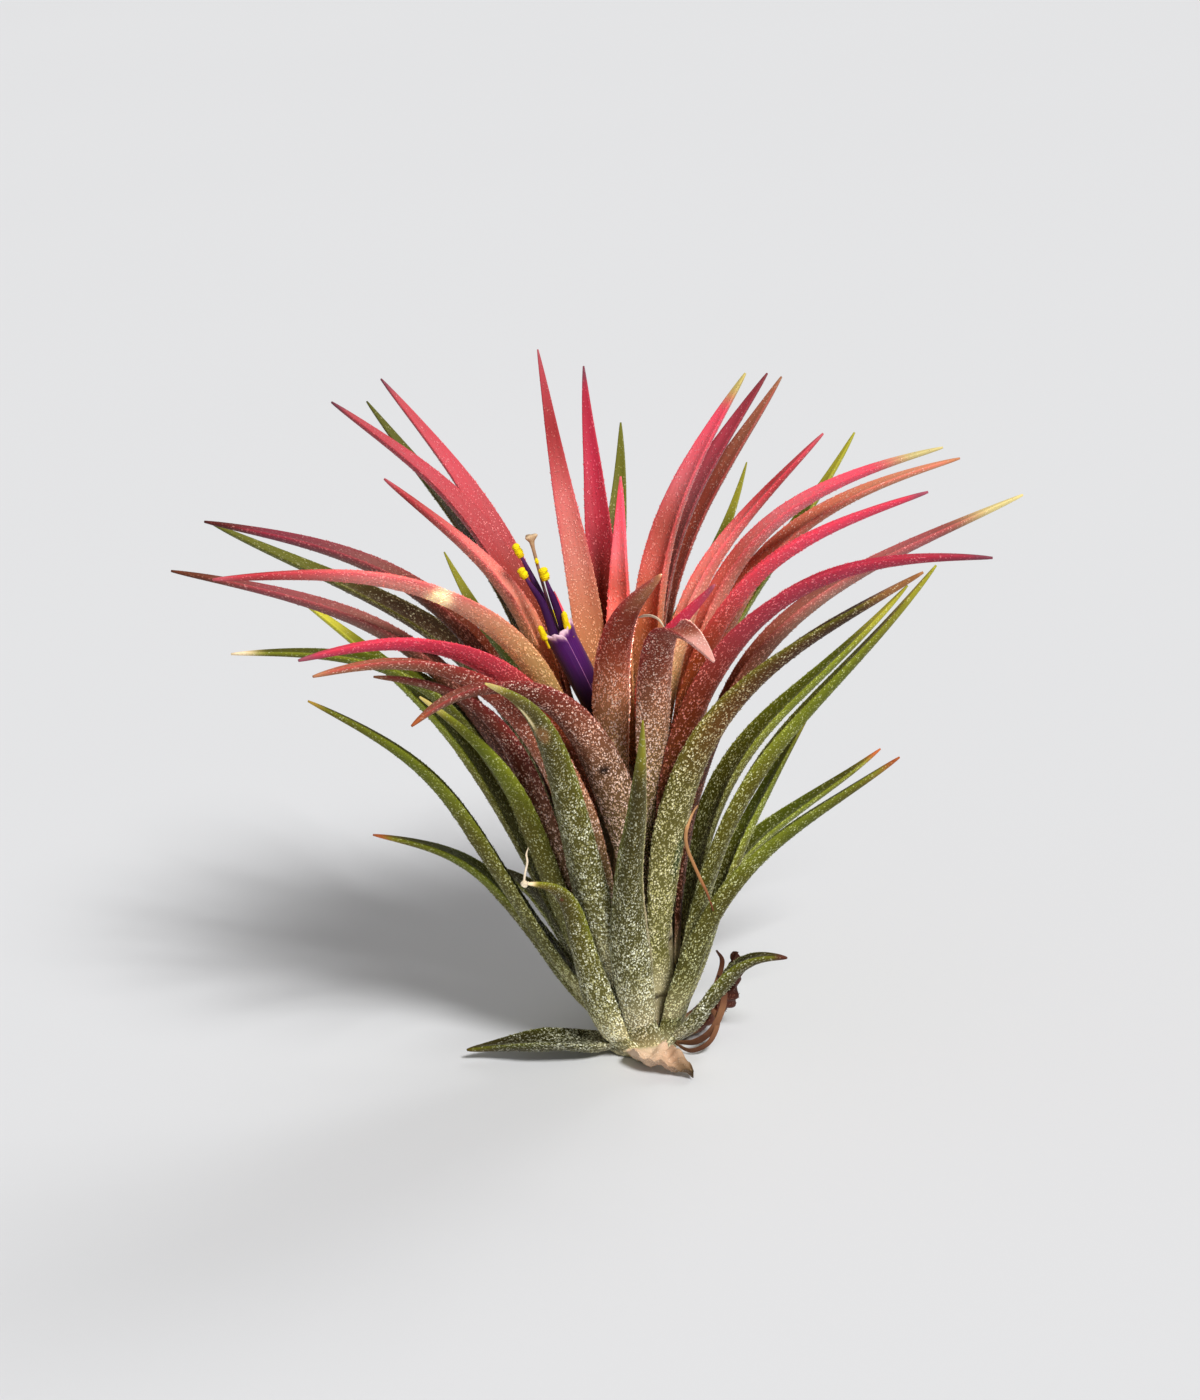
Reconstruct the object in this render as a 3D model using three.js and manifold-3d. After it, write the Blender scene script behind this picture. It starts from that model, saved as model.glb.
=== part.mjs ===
// A flowering air plant: a small rosette of thick channelled leaves round a short bulb,
// with one tubular flower in its heart. Millimetres, +Z up. The origin is the middle of the
// bulb's underside, which is the spot that the plant rests on.
import * as THREE from 'three';
import { mergeVertices } from 'three/addons/utils/BufferGeometryUtils.js';
import Module from 'manifold-3d';

const wasm = await Module();
wasm.setup();

// ---------------------------------------------------------------- driving dimensions
const CLEARANCE = 0.32;        // gap kept between pieces that touch

const BULB = {
  radius: 4.9,                 // at its widest
  widest: 14,                  // height of the widest place
  domeHeight: 21.5,            // from there to the top of the dome
  footInset: 1.3,              // how much narrower the underside is
  rings: 12,
  sides: 28,
};

const LEAF = {
  stations: 13,                // cross-sections from foot to tip
  seat: 0.65,                  // centre of the foot above the bulb's surface
  baseHandle: 0.56,            // how far a leaf rises before it arches, as a share of its span
  tipHandle: 0.46,
  // Width where a leaf leaves the bulb, as a share of its full width. The outer leaves clasp it.
  outerFoot: 0.85,
  innerFoot: 0.45,
  innerFrom: 16,               // foot height from which a leaf counts as an inner one
  slim: 0.45,                  // how much narrower the blade of a low, upright leaf is than its foot
  sheath: 0.68,                // thickness at the foot
  blade: 1.2,                  // thickness of the blade
  tipThinning: 0.35,
  keel: 0.45,                  // how far the keel lies behind the centreline, as a share of the depth
};

// One row is one leaf. Angles are in degrees: azimuths from +X towards +Y, the lean of the
// foot from upright, and the rise of the tip above level. Lengths are in millimetres.
// [tone, foot azimuth, foot height, lean, tip azimuth, reach, tip height, rise, width]
const HEART = [
  ['pink',      45,  32.5,   2,   52,     8,    65,   80,  3.9],
  ['salmon',    95,    31,   4,  101,    13,    79,   78,  3.7],
  ['crimson',   73,    29,   8,   83,    20,    75,   68,  4.3],
  ['crimson',  335,    30,   6,  314,    19,    57,   40,  4.4],
  ['salmon',   165,  29.5,   5,  164,    22,    68,   42,  4.4],
  ['pink',      33,    28,   8,   35,    25,    73,   42,  5.2],
  ['mauve',    274,    28,   5,  289,    23,    61,   28,  4.3],
  ['crimson',  124, 23.5,  14,  129, 33.5,   75,  38, 4.4],
  ['salmon',   358,  26.5,   8,   20,    30,    66,   34,  4.4],
  ['pink',      52,    25,  11,   43,    32,    71,   34,  4.8],
  ['salmon',   223,    27,   2,  194,    41,    63,    5,  5.0],
  ['crimson',  334,  24.5,  14,  351,    38,    62,   12,  4.8],
];
const CROWN = [
  ['olive',     92,    24,  11,   78,    29,    66,   58,  4.6],
  ['crimson',  142,   27,   8,  142,   34,   74,  29, 4.6],
  ['pink',     10,   22,  10,    6,   41,   64,   5, 4.4],
  ['mauve',    306, 24.5,  18,  292,   31,   53, -22, 4.4],
  ['mauve',     64,  20.5,  14,   48,    38,    69,   32,  4.8],
  ['crimson',  237,  22.5,   8,  213,    37,    56,    0,  5.2],
  ['maroon',   188,    22,   8,  164,    44,    64,   12,  5.0],
  ['olive',    118,  19.5,  13,  125,    41,    71,   38,  4.4],
  ['crimson',  312,  19.5,  13,  342,    45,    56,   -6,  4.8],
  ['mauve',     28,    18,  15,   18,    46,    60,    2,  4.6],
  ['mauve',    248,    16,  16,  218,  37.5,    55,    2,  4.8],
  ['mauve',    280,    19,  12,  235,  34.5,    50,  -12,  4.6],
  ['maroon',   184,    17,  14,  175,    46,    61,   16,  4.6],
  ['olive',    140,    17,  12,  151,    49,    61,   24,  4.6],
  ['maroon',   350,   16,  11,    8,   50,   57,  15, 4.7],
  ['mauve',    214,    13,  18,  200,    26,    50,   15,  4.6],
];
const SKIRT = [
  ['olive',    300,  13.5,  17,  330,    40,  57.5,   28,  5.3],
  ['green',    163,  13.5,  19,  186,    40,    53,    5,  4.4],
  ['green',     45,    14,  14,   42,    45,    61,   40,  4.6],
  ['green',     82,  12.5,  15,   59,    40,    58,   46,  4.0],
  ['green',    112,    11,  17,  115,    40,    51,   42,  4.6],
  ['green',    209,  9.5,  19,  216,   24,   49,  44, 4.8],
  ['green',    157,     9,  23,  160,    36,    55,   40,  5.0],
  ['silver',   243,    10,  18,  250,    34,    55,   26,  4.8],
  ['green',     25,    10,  17,   18,    38,    47,   38,  5.2],
  ['green',    338,   8.5,  18,  352,    38,    54,   48,  5.2],
  ['silver',   266,     5,  19,  280,    22,    46,   64,  5.0],
  ['green',    184,     6,  30,  196,    33,  48.5,   36,  5.2],
  ['green',     64,   7.5,  23,   72,    31,    40,   25,  5.0],
  ['green',     98,   6.5,  28,   97,    30,    32,   15,  5.0],
];
const FOOT = [
  ['green',      8,     5,  26,   23,  25.5,    34,   48,  4.8],
  ['green',     44,   3.6,  36,   24,  34.5,    27,   24,  5.0],
  ['green',    318,     5,  25,  346,  32.5,  33.5,   32,  5.2],
  ['green',    160,     4,  38,  174,    28,    28,   14,  4.8],
  ['silver',   226,     3,  24,  238,    20,  27.5,   20,  5.2],
  ['silver',   126,   3.2,  50,  128,    27,    16,    0,  4.8],
  ['silver',    80,   2.8,  50,   80,    28,    14,    0,  5.0],
  ['silver',   336,     2,  50,  341,    18,  10.6,   -8,  5.4],
  ['silver',   198,   1.6,  78,  178,  20.5,   1.4,   -4,  5.0],
];

// The pink bract behind the flower, and the two withered leaves at the foot of the bulb.
const SMALL_LEAVES = {
  bract:         ['pink',     120,  33.5,   3,  153,   4.4,    54,   76,  2.2],
  papery_leaf:   ['straw',    270,   1.2,  74,  292,    13,   0.8,   -8,  4.6],
  curled_leaf:   ['husk',       6,   1.2,  72,    4,  11.5,   9.5,   82,  4.2],
};

// The flower leans to the left out of the heart. Its points are [x, y, z].
const FLOWER_AXIS = new THREE.QuadraticBezierCurve3(
  new THREE.Vector3(0.3, -0.5, 35.9),
  new THREE.Vector3(-0.6, -0.9, 41),
  new THREE.Vector3(-3.8, -1, 49.7),
);
const FLOWER = {
  axis: FLOWER_AXIS,
  along: FLOWER_AXIS.getTangent(1),
  length: FLOWER_AXIS.getLength(),
  sides: 14,
  wall: [[0, 1.05], [0.3, 1.25], [0.6, 1.5], [0.85, 1.6], [0.95, 1.65]],  // [place, radius] up the tube
  mouth: 1.95,                 // radius of the flared rim
  lip: 0.4,                    // how wide the rim is
  cupInset: 0.6,               // how much narrower the cup's floor is than the mouth
  cupDepth: 0.08,              // depth of the cup in it, as a share of the tube's length
  ring: 0.85,                  // distance of the long stamens from the axis
  filament: 0.26,
  anther: 0.52,
  style: 0.24,
  stigma: 0.6,
  stalkSides: 7,
  shortStamens: [70, 190, 310],  // their turns round the mouth
  stub: { inset: 0.35, below: 1, above: 1.7, filament: 0.3, anther: 0.45, sides: 6 },
  stamens: [
    [250, new THREE.Vector3(-5.2, -1.7, 53.4), new THREE.Vector3(-6.4, -2.1, 56.2),
      new THREE.Vector3(-7.2, -2.2, 58)],
    [130, new THREE.Vector3(-5.3, 0.2, 53.8), new THREE.Vector3(-6.6, 0.6, 57.6),
      new THREE.Vector3(-7.4, 0.6, 59.6)],
    [10, new THREE.Vector3(-3.9, -1.6, 53.4), new THREE.Vector3(-4.4, -1.9, 55.6),
      new THREE.Vector3(-4.8, -2, 57.7)],
  ],
  styleBend: new THREE.Vector3(-4.9, -0.6, 55),
  styleTip: new THREE.Vector3(-5.7, -0.3, 61),
};

const TONES = {
  straw: 0xb8a488, husk: 0x7a5238,
  pink: 0xd4607a, salmon: 0xd2705e, crimson: 0xc43a56, mauve: 0x9c6468, maroon: 0x8a3f48,
  olive: 0x7d8450, green: 0x6f8a4a, silver: 0x8b9c7a,
};

// ---------------------------------------------------------------- small helpers
const heading = (degrees) => {
  const angle = THREE.MathUtils.degToRad(degrees);
  return new THREE.Vector3(Math.cos(angle), Math.sin(angle), 0);
};

// A direction at a height angle above level, over a heading.
const climb = (azimuth, elevation) => {
  const angle = THREE.MathUtils.degToRad(elevation);
  return heading(azimuth).multiplyScalar(Math.cos(angle)).setZ(Math.sin(angle));
};

const shortTurn = (from, to) => ((to - from + 540) % 360) - 180;

// The radius of the bulb at a height.
function bulbRadius(z) {
  const { radius, widest, domeHeight, footInset } = BULB;
  if (z > widest) return radius * Math.sqrt(Math.max(0, 1 - ((z - widest) / domeHeight) ** 2));
  return radius - footInset * ((widest - z) / widest) ** 2;
}

function material(color, roughness = 0.7) {
  return new THREE.MeshStandardMaterial({ color, roughness, metalness: 0 });
}

// ---------------------------------------------------------------- solids and meshes
function toSolid(geometry) {
  const bare = new THREE.BufferGeometry();
  bare.setAttribute('position', geometry.attributes.position);
  bare.setIndex(geometry.index);
  const merged = mergeVertices(bare, 1e-4);
  return new wasm.Manifold(new wasm.Mesh({
    numProp: 3,
    vertProperties: new Float32Array(merged.attributes.position.array),
    triVerts: new Uint32Array(merged.index.array),
  }));
}

function toGeometry(solid) {
  const { vertProperties, triVerts } = solid.getMesh();
  const geometry = new THREE.BufferGeometry();
  geometry.setAttribute('position', new THREE.BufferAttribute(new Float32Array(vertProperties), 3));
  geometry.setIndex(new THREE.BufferAttribute(new Uint32Array(triVerts), 1));
  return geometry;
}

// A closed solid from rings of points. Every ring has the same number of points, the first is
// closed by the given triangles and the last is drawn together in a point.
function loft(rings, tip, cap) {
  const sides = rings[0].length;
  const points = [...rings.flat(), tip];
  const faces = [...cap];
  for (let ring = 0; ring < rings.length - 1; ring += 1) {
    for (let side = 0; side < sides; side += 1) {
      const [a, b] = [ring * sides + side, ring * sides + ((side + 1) % sides)];
      faces.push([a, b + sides, b], [a, a + sides, b + sides]);
    }
  }
  const last = (rings.length - 1) * sides;
  for (let side = 0; side < sides; side += 1) {
    faces.push([last + side, points.length - 1, last + ((side + 1) % sides)]);
  }
  const geometry = new THREE.BufferGeometry().setFromPoints(points);
  geometry.setIndex(faces.flat());
  return geometry;
}

// ---------------------------------------------------------------- leaves
// The centreline rises from the bulb along the lean and reaches the tip along the rise.
function leafLine({ footAzimuth, footHeight, lean, tipAzimuth, reach, tipHeight, rise }) {
  const foot = heading(footAzimuth).multiplyScalar(bulbRadius(footHeight) + LEAF.seat).setZ(footHeight);
  const tip = heading(tipAzimuth).multiplyScalar(reach).setZ(tipHeight);
  const span = foot.distanceTo(tip);
  const first = climb(footAzimuth, 90 - lean).multiplyScalar(LEAF.baseHandle * span).add(foot);
  const second = climb(tipAzimuth, rise).multiplyScalar(-LEAF.tipHandle * span).add(tip);
  return new THREE.CubicBezierCurve3(foot, first, second, tip);
}

// Full width is reached a little way up, sooner on the outer leaves, and then tapers away.
function leafWidth(row, s) {
  const hidden = 0.1 + 0.2 * Math.min(row.footHeight / 30, 1);
  const inner = Math.min(row.footHeight / LEAF.innerFrom, 1);
  const foot = THREE.MathUtils.lerp(LEAF.outerFoot, LEAF.innerFoot, inner);
  const opening = foot + (1 - foot) * Math.min(s / hidden, 1) ** 0.9;
  const low = (1 - inner) * Math.cos(THREE.MathUtils.degToRad(row.lean));
  const slim = 1 - LEAF.slim * low * THREE.MathUtils.smoothstep(s, 0, 0.45);
  return row.width * opening * slim * (1 - s ** 1.9) ** 0.75;
}

const leafThickness = (s) => (LEAF.sheath
  + (LEAF.blade - LEAF.sheath) * THREE.MathUtils.clamp((s - 0.12) / 0.3, 0, 1))
  * (1 - LEAF.tipThinning * s * s);

// How deep the channel is, as a share of the width.
const leafChannel = (s) => 0.1 + 0.26 * THREE.MathUtils.smoothstep(s, 0, 0.45) - 0.14 * s * s;

// One cross-section: a crescent that opens towards the axis, six points round. The centreline
// runs through the middle of its depth.
function leafRing(row, line, s) {
  const azimuth = row.footAzimuth + shortTurn(row.footAzimuth, row.tipAzimuth) * s;
  const along = line.getTangent(s);
  const across = heading(azimuth + 90);
  across.addScaledVector(along, -across.dot(along)).normalize();
  const inward = along.clone().cross(across);
  const half = leafWidth(row, s) / 2;
  const depth = leafChannel(s) * half * 2;
  const skin = leafThickness(s) / 2;
  const [flank, back] = [0.55 * half, 0.3 * depth - 0.85 * skin];
  const section = [[-half, depth], [0, skin], [half, depth], [flank, back], [0, -skin], [-flank, back]];
  const keel = line.getPoint(s).addScaledVector(inward, -LEAF.keel * depth);
  return section.map(([u, v]) => keel.clone().addScaledVector(across, u).addScaledVector(inward, v));
}

const LEAF_CAP = [[0, 1, 5], [5, 1, 4], [4, 1, 3], [3, 1, 2]];

function leafSolid(row) {
  const line = leafLine(row);
  const rings = Array.from({ length: LEAF.stations - 1 }, (_, i) => (
    leafRing(row, line, i / (LEAF.stations - 1))));
  return toSolid(loft(rings, line.getPoint(1), LEAF_CAP));
}

const readRow = ([tone, footAzimuth, footHeight, lean, tipAzimuth, reach, tipHeight, rise, width]) => (
  { tone, footAzimuth, footHeight, lean, tipAzimuth, reach, tipHeight, rise, width });

// ---------------------------------------------------------------- bulb and flower
function bulbSolid() {
  const { widest, domeHeight, rings, sides } = BULB;
  const top = widest + domeHeight;
  const profile = [new THREE.Vector2(0, 0)];
  for (let ring = 0; ring < rings; ring += 1) {
    const z = top * Math.sin((ring / rings) * Math.PI / 2);
    profile.push(new THREE.Vector2(bulbRadius(z), z));
  }
  profile.push(new THREE.Vector2(0, top));
  return toSolid(new THREE.LatheGeometry(profile, sides).rotateX(Math.PI / 2));
}

// A round stalk along a curve. Each stop is a place on the curve, from 0 to 1, and the radius
// there. The last stop gives the place of the closing point.
function stalk(curve, stops, sides) {
  const ring = ([at, radius]) => {
    const along = curve.getTangent(at);
    const across = new THREE.Vector3(0, 1, 0).cross(along).normalize();
    const beside = along.clone().cross(across);
    return Array.from({ length: sides }, (_, i) => {
      const turn = (-2 * Math.PI * i) / sides;
      return curve.getPoint(at).addScaledVector(across, radius * Math.cos(turn))
        .addScaledVector(beside, radius * Math.sin(turn));
    });
  };
  const cap = Array.from({ length: sides - 2 }, (_, i) => [0, i + 1, i + 2]);
  return toSolid(loft(stops.slice(0, -1).map(ring), curve.getPoint(stops.at(-1)[0]), cap));
}

// The tube of three petals: a wall that widens to a flared mouth, with a shallow cup inside it.
// The three short stamens grow from that wall and are one solid with it.
function corollaSolid() {
  const { axis, along, wall, mouth, lip, cupInset, cupDepth, sides, shortStamens, stub } = FLOWER;
  const { filament, anther } = stub;
  const floor = 1 - cupDepth;
  const tube = stalk(axis, [...wall, [1, mouth], [1, mouth - lip], [floor, mouth - cupInset],
    [floor, 0]], sides);
  const stubs = shortStamens.map((turn) => {
    const rim = onMouth(turn, mouth - stub.inset);
    const foot = rim.clone().addScaledVector(along, -stub.below);
    const head = rim.clone().addScaledVector(along, stub.above);
    const stops = [[0, filament], [0.4, filament], [0.5, anther], [0.85, anther], [1, 0]];
    return stalk(new THREE.LineCurve3(foot, head), stops, stub.sides);
  });
  return stubs.reduce((whole, stub) => whole.add(stub), tube);
}

// A point in the plane of the mouth, at a turn round the tube and a distance from its axis.
function onMouth(turn, distance) {
  const angle = THREE.MathUtils.degToRad(turn);
  const centre = FLOWER.axis.getPoint(1);
  const side = new THREE.Vector3(0, 1, 0).cross(FLOWER.along).normalize();
  const back = FLOWER.along.clone().cross(side);
  return centre.addScaledVector(side, distance * Math.cos(angle))
    .addScaledVector(back, distance * Math.sin(angle));
}

// A long stamen: a thin filament that ends in a pollen sac.
function stamenSolid([turn, middle, elbow, head]) {
  const { cupDepth, length, ring, filament, anther } = FLOWER;
  const lift = CLEARANCE - cupDepth * length;
  const foot = onMouth(turn, ring).addScaledVector(FLOWER.along, lift);
  const line = new THREE.CatmullRomCurve3([foot, middle, elbow, head]);
  const stops = [[0, filament], [0.2, filament], [0.4, filament], [0.6, filament], [0.74, filament],
    [0.79, anther], [0.9, anther], [0.97, 0.6 * anther], [1, 0]];
  return stalk(line, stops, FLOWER.stalkSides);
}

function pistilSolid() {
  const { cupDepth, length, style, stigma, styleTip, styleBend } = FLOWER;
  const foot = onMouth(0, 0).addScaledVector(FLOWER.along, CLEARANCE - cupDepth * length);
  const line = new THREE.CatmullRomCurve3([foot, styleBend, styleTip]);
  const stops = [[0, style], [0.3, style], [0.6, style], [0.88, style], [0.94, stigma],
    [0.98, stigma], [1, 0]];
  return stalk(line, stops, FLOWER.stalkSides);
}

// ---------------------------------------------------------------- the assembly
const plant = new THREE.Group();

function addPiece(name, solid, color, roughness) {
  const mesh = new THREE.Mesh(toGeometry(solid), material(color, roughness));
  mesh.name = name;
  plant.add(mesh);
}

addPiece('bulb', bulbSolid(), 0x8d8466);
for (const [tier, rows] of Object.entries({ heart: HEART, crown: CROWN, skirt: SKIRT, foot: FOOT })) {
  rows.map(readRow).forEach((row, index) => {
    const number = String(index + 1).padStart(2, '0');
    addPiece(`${tier}_leaf_${number}`, leafSolid(row), TONES[row.tone]);
  });
}
for (const [name, row] of Object.entries(SMALL_LEAVES)) {
  addPiece(name, leafSolid(readRow(row)), TONES[row[0]]);
}
addPiece('corolla', corollaSolid(), 0x4b1a78, 0.5);
FLOWER.stamens.forEach((stamen, index) => {
  addPiece(`stamen_${index + 1}`, stamenSolid(stamen), 0x5a2a86, 0.6);
});
addPiece('pistil', pistilSolid(), 0xb08a5a);

export default plant;
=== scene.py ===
# %% [markdown]
# # A flowering air plant
# An air plant is a rosette of thick, channelled leaves that drinks through tiny silvery scales. When
# it flowers its inner leaves blush pink. This lesson dresses a packed CAD model of one in fine skins,
# real scales and living colour. The first cell loads that model as a fixed frame.

# %% Load the frame
import math
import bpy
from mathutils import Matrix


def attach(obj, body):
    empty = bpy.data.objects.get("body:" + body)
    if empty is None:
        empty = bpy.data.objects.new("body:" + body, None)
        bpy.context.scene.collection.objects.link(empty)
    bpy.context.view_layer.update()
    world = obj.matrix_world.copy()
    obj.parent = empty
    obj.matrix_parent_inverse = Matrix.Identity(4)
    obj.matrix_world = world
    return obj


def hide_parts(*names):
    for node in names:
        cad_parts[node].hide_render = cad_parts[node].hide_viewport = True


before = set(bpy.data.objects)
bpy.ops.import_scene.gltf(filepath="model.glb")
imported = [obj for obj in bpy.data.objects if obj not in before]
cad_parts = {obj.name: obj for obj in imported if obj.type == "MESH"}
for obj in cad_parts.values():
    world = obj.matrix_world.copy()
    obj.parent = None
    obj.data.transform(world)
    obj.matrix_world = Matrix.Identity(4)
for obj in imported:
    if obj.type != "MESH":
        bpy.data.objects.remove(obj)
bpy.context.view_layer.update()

from types import SimpleNamespace

import bpy
import numpy as np
from mathutils import Matrix, Vector

# %% [markdown]
# ## The camera
# A small plant is seen best a little from above. A Track To constraint could aim the camera, but its
# axes are worked out here, because it also rolls by 7 degrees: the view leans, the plant stands.

# %% Place the camera
MM = 0.001  # every length below is in millimetres until it meets Blender
AIM = Vector((-0.34, 0, 41.35))  # the middle of the view, inside the rosette
DISTANCE, DIP, ROLL = 350, 18, 7
FRAME_HEIGHT = 154  # what the view's long side covers at the aim

dip, roll = math.radians(DIP), math.radians(ROLL)
ahead = Vector((0, math.cos(dip), -math.sin(dip)))
level = Vector((1, 0, 0))
upright = Vector((0, math.sin(dip), math.cos(dip)))
right = math.cos(roll) * level - math.sin(roll) * upright
up = math.sin(roll) * level + math.cos(roll) * upright

camera_data = bpy.data.cameras.new("camera")
camera_data.sensor_width = 36
camera_data.lens = camera_data.sensor_width * DISTANCE / FRAME_HEIGHT
camera_data.clip_start, camera_data.clip_end = 0.01, 50
camera = bpy.data.objects.new("camera", camera_data)
camera.matrix_world = Matrix.Translation((AIM - DISTANCE * ahead) * MM) @ Matrix(
    (right, up, -ahead)).transposed().to_4x4()
bpy.context.collection.objects.link(camera)
bpy.context.scene.camera = camera
print("camera:", round(camera_data.lens, 1), "mm lens at", tuple(round(c, 3) for c in camera.location))

# %% [markdown]
# ## The light
# Soft light shows the velvet of the scales. A sun lamp with a wide disc is one very large softbox that
# lights the whole floor alike, which an area lamp near the plant wouldn't. A pale world fills the
# shadows, and the Standard view transform keeps the blush as bright as it is.

# %% Light the studio
def soft_sun(name, towards, strength, spread, colour):
    """A sun lamp whose light travels along the vector `towards`, from a disc `spread` degrees wide."""
    data = bpy.data.lights.new(name, "SUN")
    data.energy, data.angle, data.color = strength, math.radians(spread), colour
    lamp = bpy.data.objects.new(name, data)
    lamp.rotation_mode = "QUATERNION"
    lamp.rotation_quaternion = Vector(towards).to_track_quat("-Z", "Y")
    bpy.context.collection.objects.link(lamp)


soft_sun("key", (-0.36, 0.62, -0.7), strength=3.4, spread=14, colour=(1, 0.985, 0.95))
soft_sun("rim", (-0.6, -0.5, -0.65), strength=0.8, spread=25, colour=(1, 0.99, 0.97))
WORLD_COLOUR, WORLD_STRENGTH = (1, 0.97, 0.92, 1), 0.2
world = bpy.data.worlds.new("studio")
world.use_nodes = True
background = world.node_tree.nodes["Background"].inputs
background["Color"].default_value = WORLD_COLOUR
background["Strength"].default_value = WORLD_STRENGTH
bpy.context.scene.world = world
bpy.context.scene.view_settings.view_transform = "Standard"

# %% [markdown]
# ## Skins
# Leaves, petals, filaments and the bulb are one kind of surface: rings of points along a line, joined
# into a closed skin. Curves with a bevel could do, but a leaf's section changes its form on the way,
# so the rings are arrays. A skin carries each point's colour, how densely its painted scales lie, and
# a map in millimetres. If its volume comes out negative, its faces are turned round.

# %% Lengths, rings and outward faces
def run(line):
    """How far along a line of points each one lies: the running sum of the steps."""
    return np.concatenate([[0], np.cumsum(np.linalg.norm(np.diff(line, axis=0), axis=-1))])


def circle(sides):
    """The angles of `sides` places spread evenly round a ring, from 0 up."""
    return 2 * np.pi * np.arange(sides) / sides


def outwards(part):
    """Turns a closed skin's faces round if its volume, the sum of a . (b x c) / 6, is negative."""
    volume = 0.0
    for faces in part["faces"]:
        for corner in range(2, faces.shape[1]):
            a, b, c = (part["points"][faces[:, k]] for k in (0, corner - 1, corner))
            volume += (a * np.cross(b, c)).sum() / 6
    if volume < 0:
        part["faces"] = [faces[:, ::-1] for faces in part["faces"]]
        part["maps"] = [corners[:, ::-1] for corners in part["maps"]]
    return part


print("8 places round a ring, in radians:", circle(8).round(2).tolist())

# %% Rings to a closed skin
OTHER_FACE = 60  # where the map of a skin's second half starts, clear of the first


def skin(points, tint, silver, lengths):
    """A closed skin over `points`, an array of rings x sides x 3.

    Quads join each ring to the next, and a fan round the middle of the first and the last ring
    closes the ends. The map's v is the length along the line. Its u is the length round the ring,
    counted from the middle of each of the two faces, so that a taper doesn't slant the pattern.
    """
    rings, sides = points.shape[:2]
    ends = points[[0, -1]].mean(1)
    ring, side = np.meshgrid(np.arange(rings - 1), np.arange(sides), indexing="ij")
    after = (side + 1) % sides
    quads = np.stack([ring * sides + side, ring * sides + after,
                      (ring + 1) * sides + after, (ring + 1) * sides + side], -1).reshape(-1, 4)
    edge = np.arange(sides)
    last, middle = (rings - 1) * sides, rings * sides
    fans = np.concatenate([
        np.stack([np.full(sides, middle), (edge + 1) % sides, edge], -1),
        np.stack([np.full(sides, middle + 1), last + edge, last + (edge + 1) % sides], -1)])

    steps = np.linalg.norm(np.roll(points, -1, 1) - points, axis=-1)
    around = np.concatenate([np.zeros((rings, 1)), np.cumsum(steps, 1)], 1)
    quarter = sides // 4
    first = around - around[:, quarter:quarter + 1]
    second = around - around[:, 3 * quarter:3 * quarter + 1] + OTHER_FACE
    corners = ((ring, side), (ring, side + 1), (ring + 1, side + 1), (ring + 1, side))
    u = np.stack([np.where(side < sides // 2, first[at], second[at]) for at in corners], -1).reshape(-1, 4)
    v = np.stack([lengths[row] for row, _ in corners], -1).reshape(-1, 4)
    fan_u = np.concatenate([np.stack([first[end, edge] * 0, first[end, edge + 1], first[end, edge]], -1)
                            for end in (0, rings - 1)])
    fan_v = np.repeat([lengths[0], lengths[-1]], sides)[:, None] + np.zeros((1, 3))

    tint = np.broadcast_to(tint, (rings, sides, 3))
    silver = np.broadcast_to(silver, (rings, sides))
    return outwards({
        "points": np.concatenate([points.reshape(-1, 3), ends]),
        "faces": [quads, fans],
        "maps": [np.stack([u, v], -1), np.stack([fan_u, fan_v], -1)],
        "tint": np.concatenate([tint.reshape(-1, 3), tint[[0, -1]].mean(1)]),
        "silver": np.concatenate([silver.reshape(-1), silver[[0, -1]].mean(1)]),
        "smooth": True,
    })


stub = skin(np.array([[[x, y, z] for x, y in ((1, 0), (0, 1), (-1, 0), (0, -1))] for z in (0.0, 1.0)]),
            (1, 1, 1), 0, np.array([0, 1]))
print("2 rings of 4 points make", len(stub["faces"][0]), "quads and", len(stub["faces"][1]), "triangles")

# %% [markdown]
# ## From skins to a piece
# One piece of the plant may be several skins, such as a leaf and its scales. They could be joined as
# objects, but foreach_set hands Blender whole arrays, so they are put into one mesh from the start.

# %% Skins to one Blender mesh
def make_piece(name, parts, finish, replaced=()):
    starts = np.cumsum([0] + [len(part["points"]) for part in parts])
    faces = [(f + start, uv, part["smooth"]) for part, start in zip(parts, starts)
             for f, uv in zip(part["faces"], part["maps"])]
    sizes = np.concatenate([np.full(len(f), f.shape[1]) for f, uv, smooth in faces])
    corners = np.concatenate([f.ravel() for f, uv, smooth in faces]).astype(np.int32)
    places = np.concatenate([uv.reshape(-1, 2) for f, uv, smooth in faces])
    smooth = np.concatenate([np.full(len(f), smooth) for f, uv, smooth in faces])

    points, tint, silver = (np.concatenate([part[key] for part in parts])
                            for key in ("points", "tint", "silver"))
    mesh = bpy.data.meshes.new(name)
    mesh.vertices.add(starts[-1])
    mesh.loops.add(len(corners))
    mesh.polygons.add(len(sizes))
    mesh.vertices.foreach_set("co", (points * MM).ravel())
    mesh.loops.foreach_set("vertex_index", corners)
    mesh.polygons.foreach_set("loop_start", np.concatenate([[0], np.cumsum(sizes)[:-1]]).astype(np.int32))
    mesh.polygons.foreach_set("use_smooth", smooth)
    mesh.uv_layers.new(name="surface_mm").data.foreach_set("uv", places.ravel())
    mesh.attributes.new("tint", "FLOAT_COLOR", "POINT").data.foreach_set(
        "color", np.concatenate([tint, np.ones((len(tint), 1))], 1).ravel())
    mesh.attributes.new("silver", "FLOAT", "POINT").data.foreach_set("value", silver)
    mesh.update(calc_edges=True)
    mesh.materials.append(finish)

    piece = bpy.data.objects.new(name, mesh)
    bpy.context.collection.objects.link(piece)
    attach(piece, "root")
    if replaced:
        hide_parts(*replaced)
    return piece


print("pieces will go into:", bpy.context.collection.name)

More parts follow.
